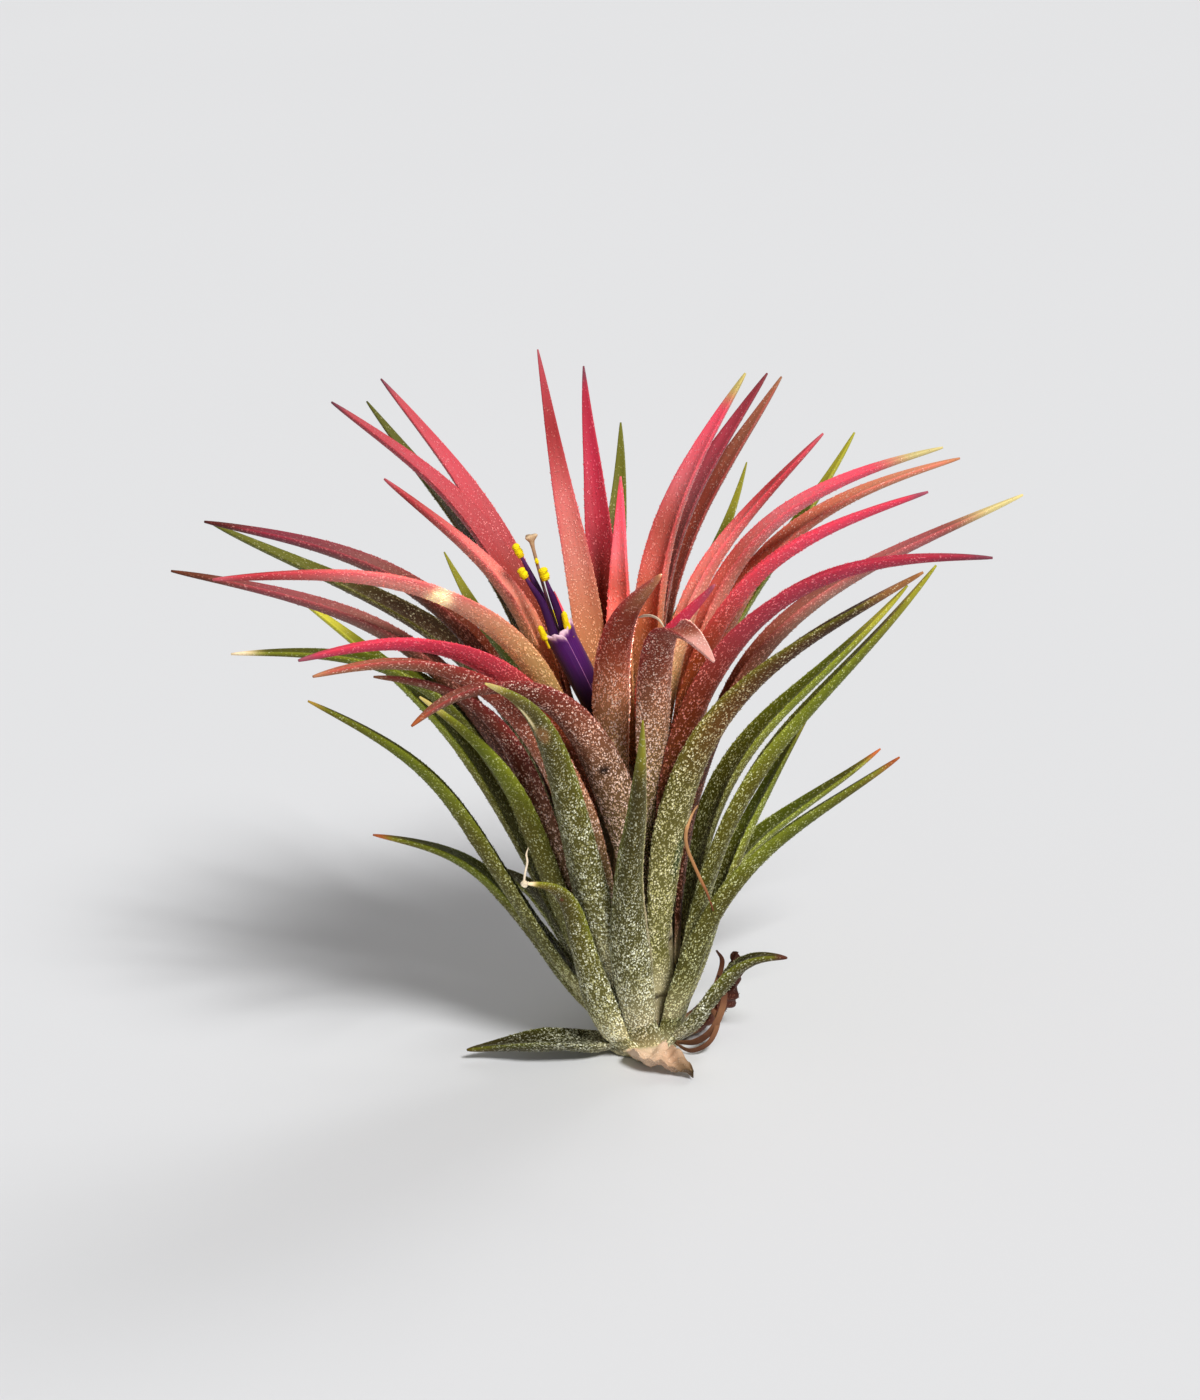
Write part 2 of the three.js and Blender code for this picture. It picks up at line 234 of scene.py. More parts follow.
# %% [markdown]
# ## Formulas in a material
# A material is a graph of nodes, which is slow to read. The class below wraps a node's output, so
# that a formula such as `1 - mask * 0.4` adds its own Math nodes. Every other node comes from one
# method, which takes its type, its settings and what goes into it.

# %% Arithmetic on a node's output
class Wire:
    """One output of a node, with arithmetic that adds Math nodes."""

    def __init__(self, finish, socket):
        self.finish, self.socket = finish, socket

    def maths(self, operation, *values):
        return self.finish.node("Math", {"operation": operation}, dict(enumerate(values)))

    def __add__(self, other):
        return self.maths("ADD", self, other)

    def __sub__(self, other):
        return self.maths("SUBTRACT", self, other)

    def __rsub__(self, other):
        return self.maths("SUBTRACT", other, self)

    def __mul__(self, other):
        return self.maths("MULTIPLY", self, other)

    def __lt__(self, other):
        return self.maths("LESS_THAN", self, other)

    __radd__, __rmul__ = __add__, __mul__


print("arithmetic on a wire: + - * <")

# %% A material that can be written as formulas
class Finish:
    """A Principled material, and the one way in which nodes are added to it."""

    def __init__(self, name, **constants):
        self.material = bpy.data.materials.new(name)
        self.material.use_nodes = True
        self.tree = self.material.node_tree
        self.shader = self.tree.nodes["Principled BSDF"]
        for socket, value in constants.items():
            self.shader.inputs[socket.replace("_", " ")].default_value = value

    def node(self, kind, settings, inputs, output=0):
        """Adds a node: its settings first, then its inputs by name or number, values or wires."""
        made = self.tree.nodes.new("ShaderNode" + kind)
        for setting, value in settings.items():
            setattr(made, setting, value)
        for name, value in inputs.items():
            if isinstance(value, Wire):
                self.tree.links.new(value.socket, made.inputs[name])
            else:
                made.inputs[name].default_value = value
        return Wire(self, made.outputs[output])

    def attribute(self, name, output):
        return self.node("Attribute", {"attribute_name": name}, {}, output)

    def on_map(self, width, length):
        """The piece's own map, counted in cells of a width and a length in millimetres."""
        place = self.node("UVMap", {"uv_map": "surface_mm"}, {})
        return self.node("VectorMath", {"operation": "MULTIPLY"},
                         {0: place, 1: (1 / width, 1 / length, 1)})

    def noise(self, place, scale=1, detail=3, output=0):
        return self.node("TexNoise", {},
                         {"Vector": place, "Scale": scale, "Detail": detail}, output)

    def scaled(self, colour, value):
        """A colour made brighter or darker by a value."""
        return self.node("VectorMath", {"operation": "SCALE"}, {0: colour, "Scale": value})

    def ease(self, value, low, high):
        """0 below `low`, 1 above `high`, and a smooth S between them."""
        return self.node("MapRange", {"interpolation_type": "SMOOTHSTEP"},
                         {"Value": value, "From Min": low, "From Max": high})

    def mix(self, factor, a, b):
        """A colour between a and b."""
        return self.node("Mix", {"data_type": "RGBA"}, {0: factor, 6: a, 7: b}, 2)

    def feed(self, socket, wire):
        self.tree.links.new(wire.socket, self.shader.inputs[socket])

    def bump(self, height, depth):
        """Bump of a depth in millimetres."""
        self.feed("Normal", self.node("Bump", {}, {
            "Height": height, "Strength": 1, "Distance": depth * MM}))


print("a finish has:", ", ".join(name for name in vars(Finish) if not name.startswith("__")))

# %% Screen colours as light
def linear(rgb):
    """Colours as Blender counts them, from the 0-255 values that a screen shows."""
    c = np.array(rgb) / 255
    return np.where(c > 0.04045, ((c + 0.055) / 1.055) ** 2.4, c / 12.92)


print("a screen grey of 128 as light:", linear(128).round(3))

# %% [markdown]
# ## The floor
# A plain pale sheet that runs far past the view, so that no edge or horizon shows. A hint of broad
# unevenness keeps its tone from looking dead flat. It isn't part of the plant.

# %% Lay the floor
FLOOR_REACH, FLOOR_TONES = 6000, ((217, 219, 224), (219, 221, 226))
paper = Finish("floor_paper", Roughness=0.9, Specular_IOR_Level=0.1)
floor_place = paper.node("TexCoord", {}, {}, 3)
paper.feed("Base Color", paper.mix(paper.noise(floor_place, 3, 2), *(
    (*linear(tone), 1) for tone in FLOOR_TONES)))
floor_mesh = bpy.data.meshes.new("floor")
floor_mesh.from_pydata([(x * FLOOR_REACH * MM, y * FLOOR_REACH * MM, 0)
                        for x, y in ((-1, -1), (1, -1), (1, 1), (-1, 1))], [], [(0, 1, 2, 3)])
floor_mesh.materials.append(paper.material)
floor = bpy.data.objects.new("floor", floor_mesh)
bpy.context.collection.objects.link(floor)
print("floor:", 2 * FLOOR_REACH * MM, "m wide")

# %% [markdown]
# ## How a leaf grows
# Each leaf leaves the bulb at an azimuth and a height, rises along a lean, arches over and ends at
# its tip. Those few numbers are the same ones that the solid leaf was made from, so the fine leaf
# lies where the solid one is. Angles are in degrees, azimuths run from +X towards +Y.

# %% The leaves, row by row
WORDS = "tone foot_azimuth foot_height lean tip_azimuth reach tip_height rise width".split()
HEART = [
    ["pink", 45, 32.5, 2, 52, 8, 65, 80, 3.9],
    ["salmon", 95, 31, 4, 101, 13, 79, 78, 3.7],
    ["crimson", 73, 29, 8, 83, 20, 75, 68, 4.3],
    ["crimson", 335, 30, 6, 314, 19, 57, 40, 4.4],
    ["salmon", 165, 29.5, 5, 164, 22, 68, 42, 4.4],
    ["pink", 33, 28, 8, 35, 25, 73, 42, 5.2],
    ["mauve", 274, 28, 5, 289, 23, 61, 28, 4.3],
    ["crimson", 124, 23.5, 14, 129, 33.5, 75, 38, 4.4],
    ["salmon", 358, 26.5, 8, 20, 30, 66, 34, 4.4],
    ["pink", 52, 25, 11, 43, 32, 71, 34, 4.8],
    ["salmon", 223, 27, 2, 194, 41, 63, 5, 5.0],
    ["crimson", 334, 24.5, 14, 351, 38, 62, 12, 4.8],
]
CROWN = [
    ["olive", 92, 24, 11, 78, 29, 66, 58, 4.6],
    ["crimson", 142, 27, 8, 142, 34, 74, 29, 4.6],
    ["pink", 10, 22, 10, 6, 41, 64, 5, 4.4],
    ["mauve", 306, 24.5, 18, 292, 31, 53, -22, 4.4],
    ["mauve", 64, 20.5, 14, 48, 38, 69, 32, 4.8],
    ["crimson", 237, 22.5, 8, 213, 37, 56, 0, 5.2],
    ["maroon", 188, 22, 8, 164, 44, 64, 12, 5.0],
    ["olive", 118, 19.5, 13, 125, 41, 71, 38, 4.4],
    ["crimson", 312, 19.5, 13, 342, 45, 56, -6, 4.8],
    ["mauve", 28, 18, 15, 18, 46, 60, 2, 4.6],
    ["mauve", 248, 16, 16, 218, 37.5, 55, 2, 4.8],
    ["mauve", 280, 19, 12, 235, 34.5, 50, -12, 4.6],
    ["maroon", 184, 17, 14, 175, 46, 61, 16, 4.6],
    ["olive", 140, 17, 12, 151, 49, 61, 24, 4.6],
    ["maroon", 350, 16, 11, 8, 50, 57, 15, 4.7],
    ["mauve", 214, 13, 18, 200, 26, 50, 15, 4.6],
]
SKIRT = [
    ["olive", 300, 13.5, 17, 330, 40, 57.5, 28, 5.3],
    ["green", 163, 13.5, 19, 186, 40, 53, 5, 4.4],
    ["green", 45, 14, 14, 42, 45, 61, 40, 4.6],
    ["green", 82, 12.5, 15, 59, 40, 58, 46, 4.0],
    ["green", 112, 11, 17, 115, 40, 51, 42, 4.6],
    ["green", 209, 9.5, 19, 216, 24, 49, 44, 4.8],
    ["green", 157, 9, 23, 160, 36, 55, 40, 5.0],
    ["silver", 243, 10, 18, 250, 34, 55, 26, 4.8],
    ["green", 25, 10, 17, 18, 38, 47, 38, 5.2],
    ["green", 338, 8.5, 18, 352, 38, 54, 48, 5.2],
    ["silver", 266, 5, 19, 280, 22, 46, 64, 5.0],
    ["green", 184, 6, 30, 196, 33, 48.5, 36, 5.2],
    ["green", 64, 7.5, 23, 72, 31, 40, 25, 5.0],
    ["green", 98, 6.5, 28, 97, 30, 32, 15, 5.0],
]
FOOT = [
    ["green", 8, 5, 26, 23, 25.5, 34, 48, 4.8],
    ["green", 44, 3.6, 36, 24, 34.5, 27, 24, 5.0],
    ["green", 318, 5, 25, 346, 32.5, 33.5, 32, 5.2],
    ["green", 160, 4, 38, 174, 28, 28, 14, 4.8],
    ["silver", 226, 3, 24, 238, 20, 27.5, 20, 5.2],
    ["silver", 126, 3.2, 50, 128, 27, 16, 0, 4.8],
    ["silver", 80, 2.8, 50, 80, 28, 14, 0, 5.0],
    ["silver", 336, 2, 50, 341, 18, 10.6, -8, 5.4],
    ["silver", 198, 1.6, 78, 178, 20.5, 1.4, -4, 5.0],
]
SMALL_LEAVES = {
    "bract": ["pink", 120, 33.5, 3, 153, 4.4, 54, 76, 2.2],
    "papery_leaf": ["straw", 270, 1.2, 74, 292, 13, 0.8, -8, 4.6],
    "curled_leaf": ["husk", 6, 1.2, 72, 4, 11.5, 9.5, 82, 4.2],
}
print("leaves in rows:", sum(len(rows) for rows in (HEART, CROWN, SKIRT, FOOT)))

# %% Rows to named leaves
TAPER = 1.9  # how long a leaf keeps its width: the power of s in its outline


def per_leaf(**tiers):
    """Spreads a short table, or a list that starts at leaf 1, over the leaves' full names."""
    return {f"{tier}_leaf_{number:02d}": value for tier, values in tiers.items()
            for number, value in (values.items() if isinstance(values, dict) else enumerate(values, 1))}


LEAVES = {name: SimpleNamespace(**dict(zip(WORDS, row))) for name, row in {
    **per_leaf(heart=HEART, crown=CROWN, skirt=SKIRT, foot=FOOT), **SMALL_LEAVES}.items()}
BLUNT = per_leaf(heart={7: 2.8}, crown={4: 3.6})  # the taper of blunter ones
CRUMPLE = {"papery_leaf": 0.45, "curled_leaf": 0.5}  # how far a withered leaf is crumpled
for name, leaf in LEAVES.items():
    leaf.taper = BLUNT.get(name, TAPER)
    leaf.crumple = CRUMPLE.get(name, 0)
print("leaves:", len(LEAVES))

# %% [markdown]
# The line of a leaf is a cubic Bezier curve: four points, worked out from where it starts and ends
# and the two directions. Its width opens quickly from the clasping foot and then tapers to a point.

# %% Directions and the bulb's outline
UPWARDS = np.array([0, 0, 1])
BULB_RADIUS, BULB_WIDEST, DOME_HEIGHT, FOOT_INSET = 4.9, 14, 21.5, 1.3
BULB_TOP = BULB_WIDEST + DOME_HEIGHT


def heading(azimuth):
    """A unit vector over the ground: (cos, sin, 0) of the azimuth."""
    angle = np.radians(azimuth)
    return np.stack([np.cos(angle), np.sin(angle), 0 * angle], -1)


def climb(azimuth, elevation):
    """A unit vector over a heading, raised by an elevation."""
    angle = math.radians(elevation)
    return heading(azimuth) * math.cos(angle) + np.array([0, 0, math.sin(angle)])


def bulb_radius(z):
    """A half ellipse above the widest place, and a parabola that draws in below it."""
    dome = BULB_RADIUS * np.sqrt(np.clip(1 - ((z - BULB_WIDEST) / DOME_HEIGHT) ** 2, 0, 1))
    return np.where(z > BULB_WIDEST, dome,
                    BULB_RADIUS - FOOT_INSET * ((BULB_WIDEST - z) / BULB_WIDEST) ** 2)


def unit(vectors):
    """Each vector over its own length."""
    return vectors / np.linalg.norm(vectors, axis=-1, keepdims=True)


print("the bulb's radius at 0, 14 and 30 mm:", bulb_radius(np.array([0, 14, 30])).round(2).tolist())

# %% The line of a leaf
SEAT = 0.65  # centre of a leaf's foot above the bulb's surface
BASE_HANDLE, TIP_HANDLE = 0.56, 0.46
SHEATH_SHARE = 0.1  # what the sheath takes of s, below 0
SHEATH_DROP, SHEATH_SEAT, SHEATH_SINK, LOWEST = 6, 0.12, 1.6, 0.3


def clasp(s):
    """How far down the sheath a place is: 0 on the leaf itself, 1 at the sheath's lower end."""
    return np.clip(-s / SHEATH_SHARE, 0, 1)


def leaf_line(leaf, s):
    """Points and unit tangents of the cubic Bezier curve from foot to tip, for s from 0 to 1.

    Below 0 the line runs on down the bulb and sinks to its surface: the leaf's clasping sheath.
    """
    foot = heading(leaf.foot_azimuth) * (bulb_radius(leaf.foot_height) + SEAT)
    foot = foot + [0, 0, leaf.foot_height]
    tip = heading(leaf.tip_azimuth) * leaf.reach + [0, 0, leaf.tip_height]
    span = np.linalg.norm(tip - foot)
    first = foot + BASE_HANDLE * span * climb(leaf.foot_azimuth, 90 - leaf.lean)
    second = tip - TIP_HANDLE * span * climb(leaf.tip_azimuth, leaf.rise)
    t = np.clip(s, 0, 1)[..., None]
    point = (1 - t) ** 3 * foot + 3 * (1 - t) ** 2 * t * first + 3 * (1 - t) * t ** 2 * second + t ** 3 * tip
    along = ((1 - t) ** 2 * (first - foot) + 2 * (1 - t) * t * (second - first) + t ** 2 * (tip - second))
    below = clasp(s)
    z = leaf.foot_height - min(leaf.foot_height - LOWEST, SHEATH_DROP) * below
    seat = SEAT - (SEAT - SHEATH_SEAT) * (1 - (1 - below) ** SHEATH_SINK)
    sheath = heading(leaf.foot_azimuth) * (bulb_radius(z) + seat)[..., None] + z[..., None] * UPWARDS
    return np.where((below > 0)[..., None], sheath, point), unit(along)


sample = LEAVES["crown_leaf_02"]
print("crown leaf 2 ends at", leaf_line(sample, np.array(1.0))[0].round(1).tolist(), "mm")

# %% The width of a leaf
INNER = 16  # a leaf that starts above this height is an inner one
FOOT_WIDTH, FOOT_PINCH = 0.85, 0.4  # an outer leaf's foot as a share of its width, less on an inner one
SHEATH_FLARE = 0.55
SLIM = 0.45  # how much narrower a low, upright leaf's blade is than its foot
UNFOLDED = 0.45  # the s by which a blade has its full form
# The s at which the lowest leaf has its full width, how much later the top one has, and its height.
WIDEST_LOW, WIDEST_LATER, TOP_SEAT = 0.1, 0.2, 30


def smooth(x):
    """The smooth step 3x^2 - 2x^3 on 0..1."""
    x = np.clip(x, 0, 1)
    return x * x * (3 - 2 * x)


def leaf_width(leaf, s):
    """Opens from the foot's share to full width, then tapers as (1 - s^taper)^0.75. The sheath flares."""
    widest = WIDEST_LOW + WIDEST_LATER * min(leaf.foot_height / TOP_SEAT, 1)
    inner = min(leaf.foot_height / INNER, 1)
    foot = FOOT_WIDTH - FOOT_PINCH * inner
    opening = foot + (1 - foot) * np.clip(s / widest, 0, 1) ** 0.9
    low = (1 - inner) * math.cos(math.radians(leaf.lean))
    slim = 1 - SLIM * low * smooth(s / UNFOLDED)
    taper = np.clip(1 - np.clip(s, 0, 1) ** leaf.taper, 0, 1) ** 0.75
    return leaf.width * opening * slim * taper * (1 + SHEATH_FLARE * smooth(clasp(s)))


print("its width halfway:", round(float(leaf_width(sample, 0.5)), 2), "mm")

# %% [markdown]
# A leaf's section is a crescent that opens towards the stem. Its outline could be drawn point by
# point, but one formula gives it: the rim sweeps a parabola, and a sine adds the thickness. Fine
# ribs run along both faces, the margins waver a little, and the free end has a slight twist.

# %% The skin of a leaf as a function of two parameters
KEEL = 0.45  # how far the keel lies behind the centreline, as a share of depth
FOOT_DEPTH, BLADE_DEPTH, TIP_LOSS = 0.1, 0.26, 0.14  # the channel's depth, as shares of the width
FOOT_SKIN, BLADE_SKIN, TIP_THINNING = 0.68, 0.52, 0.35  # thickness in mm, and what the tip loses of it
THICKENS_AT, THICKENS_OVER, SHEATH_THINNING = 0.12, 0.3, 0.75
MARGIN_EDGE = 0.55  # a half blade of this width in mm has nearly its full thickness
FREE_SPAN = 0.5  # over which s the free end's waver, twist and sway set in
RIBS, RIB_DEPTH = 9, 0.035
WAVER, TWIST, SWAY = 0.02, 9, 0.35
PLUMP, PLUMP_AT, PLUMP_LENGTH = 0.9, 0.06, 0.13  # how the back of an outer leaf swells at its foot


def leaf_point(leaf, s, turn, habit):
    """The skin at s along the leaf and `turn` round its section, in radians.

    Across the leaf it is half-width x cos(turn). Towards the stem it is depth x (cos^2 - keel) plus
    half-thickness x sin(turn), so that turn 0 and pi are the margins, pi/2 is the middle of the
    channel and 3 pi/2 the middle of the back. A bell curve along s swells an outer leaf's back at its
    foot, and two crossed sines crumple a withered leaf. `habit` is the leaf's own random phases.
    """
    s, turn = np.broadcast_arrays(s, turn)
    point, along = leaf_line(leaf, s)
    swing = (leaf.tip_azimuth - leaf.foot_azimuth + 540) % 360 - 180
    across = heading(leaf.foot_azimuth + swing * s + 90)
    across = unit(across - (across * along).sum(-1, keepdims=True) * along)
    inward = np.cross(along, across)
    free = smooth((s - UNFOLDED) / FREE_SPAN)
    angle = np.radians(TWIST * habit[0] * free)[..., None]
    across, inward = (across * np.cos(angle) + inward * np.sin(angle),
                      inward * np.cos(angle) - across * np.sin(angle))

    half = leaf_width(leaf, s) / 2
    wrap = half ** 2 / (2 * BULB_RADIUS)
    depth = 2 * half * (FOOT_DEPTH + BLADE_DEPTH * smooth(s / UNFOLDED) - TIP_LOSS * s ** 2)
    depth = depth + (wrap - depth) * smooth(clasp(s))
    thickness = FOOT_SKIN + BLADE_SKIN * np.clip((s - THICKENS_AT) / THICKENS_OVER, 0, 1)
    thickness = thickness * (1 - TIP_THINNING * s ** 2) * (1 - SHEATH_THINNING * smooth(clasp(s)))
    skin_half = thickness / 2 * (1 - np.exp(-2 * half / MARGIN_EDGE))
    waver = 1 + WAVER * np.sin(2 * np.pi * (4 * s + habit[1])) * np.sign(np.cos(turn)) * free
    rib = RIB_DEPTH * np.cos(2 * RIBS * turn) * np.clip(half / 2, 0, 1)
    sway = SWAY * free * (1 - s) * 4 * np.sin(2 * np.pi * (1.5 * s + habit[2]))
    u = half * waver * np.cos(turn) + sway * 0.3
    plump = (PLUMP * np.exp(-((s - PLUMP_AT) / PLUMP_LENGTH) ** 2)
             * np.clip(1 - leaf.foot_height / INNER, 0, 1))
    back = plump * np.clip(-np.sin(turn), 0, 1) * (1 - clasp(s))
    v = depth * (np.cos(turn) ** 2 - KEEL) + (skin_half + rib) * np.sin(turn) - back
    fold = np.sin(16 * s + 3 * np.cos(turn) + 9 * habit[1]) + 0.6 * np.sin(37 * s - 5 * np.cos(turn))
    v = v + leaf.crumple * fold * smooth(s / 0.3) * (1 - 0.5 * s)
    return point + across * u[..., None] + inward * v[..., None]


print("its keel halfway:", leaf_point(sample, 0.5, 1.5 * np.pi, np.zeros(6)).round(1).tolist(), "mm")

# %% [markdown]
# ## Leaf colours
# The blush rises with age and light: inner leaves turn salmon, pink and crimson, outer ones stay
# olive and green, and each fades to tan at its foot. A colour ramp node in every material could
# paint that, but here the ramp is worked out for each point, because tips, painted rim highlights
# and blotches then are just more arithmetic on the same array.

# %% Colours from foot to tip
GAIN = 1.35  # how much brighter a surface is than it looks under this light
PALETTES = {  # tone: (place from foot to tip, screen colour)
    # pink's stop at 0.45 is lighter than the leaf's own colour: painted light deep in the rosette, where the
    # neighbours shade it
    "pink": [(0, 128, 114, 66), (0.3, 176, 128, 86), (0.45, 196, 132, 116), (0.57, 164, 104, 90),
             (0.7, 188, 126, 128), (0.88, 206, 98, 118), (1, 172, 88, 96)],
    "salmon": [(0, 130, 122, 62), (0.3, 184, 152, 108), (0.5, 190, 148, 130), (0.7, 192, 130, 124),
               (0.88, 148, 60, 62), (1, 164, 84, 92)],
    "crimson": [(0, 98, 72, 34), (0.3, 124, 60, 28), (0.5, 166, 70, 80), (0.75, 182, 68, 94),
                (0.9, 170, 62, 84), (1, 134, 74, 88)],
    "mauve": [(0, 136, 124, 78), (0.3, 158, 112, 82), (0.5, 138, 70, 50), (0.7, 128, 62, 46),
              (0.85, 138, 96, 72), (1, 164, 116, 86)],
    "maroon": [(0, 66, 34, 12), (0.35, 86, 42, 16), (0.65, 120, 90, 84), (0.85, 116, 56, 70),
               (1, 70, 40, 14)],
    "olive": [(0, 130, 126, 72), (0.25, 106, 98, 42), (0.42, 108, 72, 22), (0.7, 82, 48, 16),
              (0.9, 64, 42, 16), (1, 118, 96, 34)],
    "green": [(0, 96, 94, 44), (0.4, 92, 86, 14), (0.57, 108, 112, 24), (0.75, 98, 104, 14),
              (0.93, 102, 96, 20), (1, 164, 138, 62)],
    "silver": [(0, 118, 114, 72), (0.25, 96, 92, 44), (0.5, 84, 78, 20), (0.8, 80, 70, 6),
               (1, 114, 98, 14)],
    "straw": [(0, 196, 178, 158), (0.6, 172, 146, 124), (1, 84, 66, 42)],
    "husk": [(0, 100, 56, 34), (0.6, 84, 40, 24), (1, 62, 30, 18)],
}
# A leaf's brightness against its tone is partly its own colour, and partly painted shade where neighbours
# shade it and painted light where it stands lit.
LEAF_TONE_AND_PAINTED_LIGHT = per_leaf(  # leaves that are darker or brighter than their tone
    heart={1: 1.35, 2: 0.9, 3: 0.82, 4: 1.6, 7: 1.4, 8: 0.85, 9: 1.1, 10: 0.45, 11: 1.1, 12: 1.35},
    crown={1: 0.85, 2: 0.82, 4: 1.02, 5: 0.75, 6: 1.2, 8: 0.55, 9: 0.85, 10: 1.2, 12: 0.7, 14: 0.75,
           15: 1.1, 16: 0.65},
    skirt={1: 0.86, 4: 0.75, 5: 0.75, 7: 1.45, 8: 1.05, 9: 1.15, 11: 0.78},
    foot={3: 0.8, 8: 0.75, 9: 0.65})
SCALES_OF = {  # tone: (scales' screen colour, density at foot, at tip, how they shine)
    "pink": ((250, 186, 176), 0.5, 0.02, 0.6), "salmon": ((248, 200, 168), 0.6, 0.02, 0.6),
    "crimson": ((244, 160, 154), 0.6, 0.05, 0.9), "mauve": ((248, 216, 202), 0.85, 0.08, 1.6),
    "maroon": ((226, 164, 148), 0.5, 0.04, 1.1), "olive": ((236, 230, 190), 0.7, 0.06, 1.1),
    "green": ((230, 234, 190), 0.7, 0.02, 1), "silver": ((238, 240, 220), 1.0, 0.1, 1),
    "straw": ((226, 212, 194), 0.15, 0.1, 0.5), "husk": ((160, 112, 84), 0.1, 0.05, 0.5),
}
MORE_SILVER = per_leaf(heart={7: 1.1}, crown={4: 1.3, 5: 0.4, 10: 0.6, 12: 1.1},
                       skirt={1: 1.25, 9: 1.2}, foot={1: 1.3, 2: 1.4})
BLUSHING = ("pink", "salmon", "crimson", "mauve", "maroon")
GREENS = ("green", "olive", "silver")
# On green leaves the channel's filter is painted shade, because the channel lies in shadow; on blushing
# leaves it makes the channel redder.
EDGES = [  # (tones, how the channel filters them, their margins' colour, its share, where it starts)
    (BLUSHING, (1.04, 0.9, 0.92), (196, 56, 78), 0.35, 0.3),
    (GREENS, (0.78, 0.8, 0.68), (146, 154, 48), 0.6, 0.2),
]
SHEATH_TINT = (186, 178, 146)  # the bleached base that the light never reaches
BLEACHED = (204, 160, 130)
FADED = per_leaf(  # leaves whose blush has bleached, and how far
    heart={5: 0.1, 8: 0.25, 12: 0.05}, crown={2: 0.25, 5: 0.15, 10: 0.4, 13: 0.2, 15: 0.3})

print("tones:", ", ".join(PALETTES))

# %% Colours between stops, and mixed
def between(stops, place):
    """Values drawn straight between stops, which are rows of (place, value, ...)."""
    stops = np.array(stops, float).T
    return np.stack([np.interp(place, stops[0], values) for values in stops[1:]], -1)


def blend(colour, other, share):
    """`colour` with a share of `other` mixed in, point by point."""
    share = share[..., None]
    return np.asarray(colour, float) * (1 - share) + np.asarray(other, float) * share


print("pink halfway up:", between(PALETTES["pink"], 0.5).round())

# %% [markdown]
# Old and young tips differ: some have dried to straw, some are still yellow-green, some are scorched
# brown. Each style is a colour and how far down it reaches. A few leaves also have a mark of their
# own, such as a pale rubbed blotch or a scar, and a few have a painted highlight along one margin,
# where light catches its edge.

# %% Tips and marks
TIPS = {  # style: (screen colour, how far down the leaf it reaches)
    "yellow": ((180, 166, 108), 0.06), "long yellow": ((186, 174, 126), 0.085), "dark": ((88, 36, 32), 0.05),
    "orange": ((172, 100, 54), 0.04), "brown": ((100, 56, 36), 0.06), "green": ((118, 118, 46), 0.25),
    "dry": ((216, 198, 168), 0.045), "lime": ((150, 146, 50), 0.12), "tan": ((170, 122, 78), 0.09),
}
PLAIN_TIP = 0.03  # how far down the palette's own last colour reaches
TIP_OF = per_leaf(
    heart={6: "yellow"},
    crown={1: "green", 3: "long yellow", 7: "dark", 8: "green", 12: "orange", 13: "brown", 14: "green",
           15: "long yellow"},
    skirt={1: "tan", 2: "dry", 3: "lime", 4: "lime", 5: "lime", 6: "yellow", 7: "lime", 8: "yellow",
           9: "lime", 10: "lime", 11: "lime"},
    foot={2: "orange", 3: "orange", 4: "orange", 5: "dry", 8: "brown"})
MARKS = per_leaf(  # [(colour, centre along, centre across, length, width)]
    heart={11: [((255, 244, 200), 0.57, 0.4, 0.036, 0.8)]},
    crown={4: [((192, 146, 138), 0.95, 0, 0.09, 3)], 12: [((40, 18, 14), 0.3, 0.1, 0.014, 0.3)]},
    skirt={1: [((60, 76, 22), 0.15, 0.35, 0.05, 0.3), ((84, 44, 22), 0.24, 0.55, 0.012, 0.2)],
           8: [((134, 100, 60), 0.66, 0.2, 0.05, 0.6), ((214, 200, 160), 0.76, -0.1, 0.09, 0.3)]},
    foot={5: [((110, 60, 34), 0.72, 0.3, 0.02, 0.2)]})
RIM_HIGHLIGHT_TINT = (250, 232, 222)  # a painted highlight along one margin, where light catches the edge
# leaves with a painted rim highlight, and how strong it is
RIM_HIGHLIGHTS_PER_LEAF = per_leaf(heart={7: 0.9}, crown={4: 0.9}, skirt={1: 0.5, 11: 0.6})
PALE_FOOT_BELOW = 11  # leaves that start lower than this show their pale feet
HABIT_SHIFT, HABIT_LIGHT = 0.05, 0.06  # how far one leaf's colours move along it, and its light differs
MARGIN_POWER = 6  # the higher, the narrower the coloured margin
print("leaves with a tip of their own:", len(TIP_OF), "and with marks:", len(MARKS))

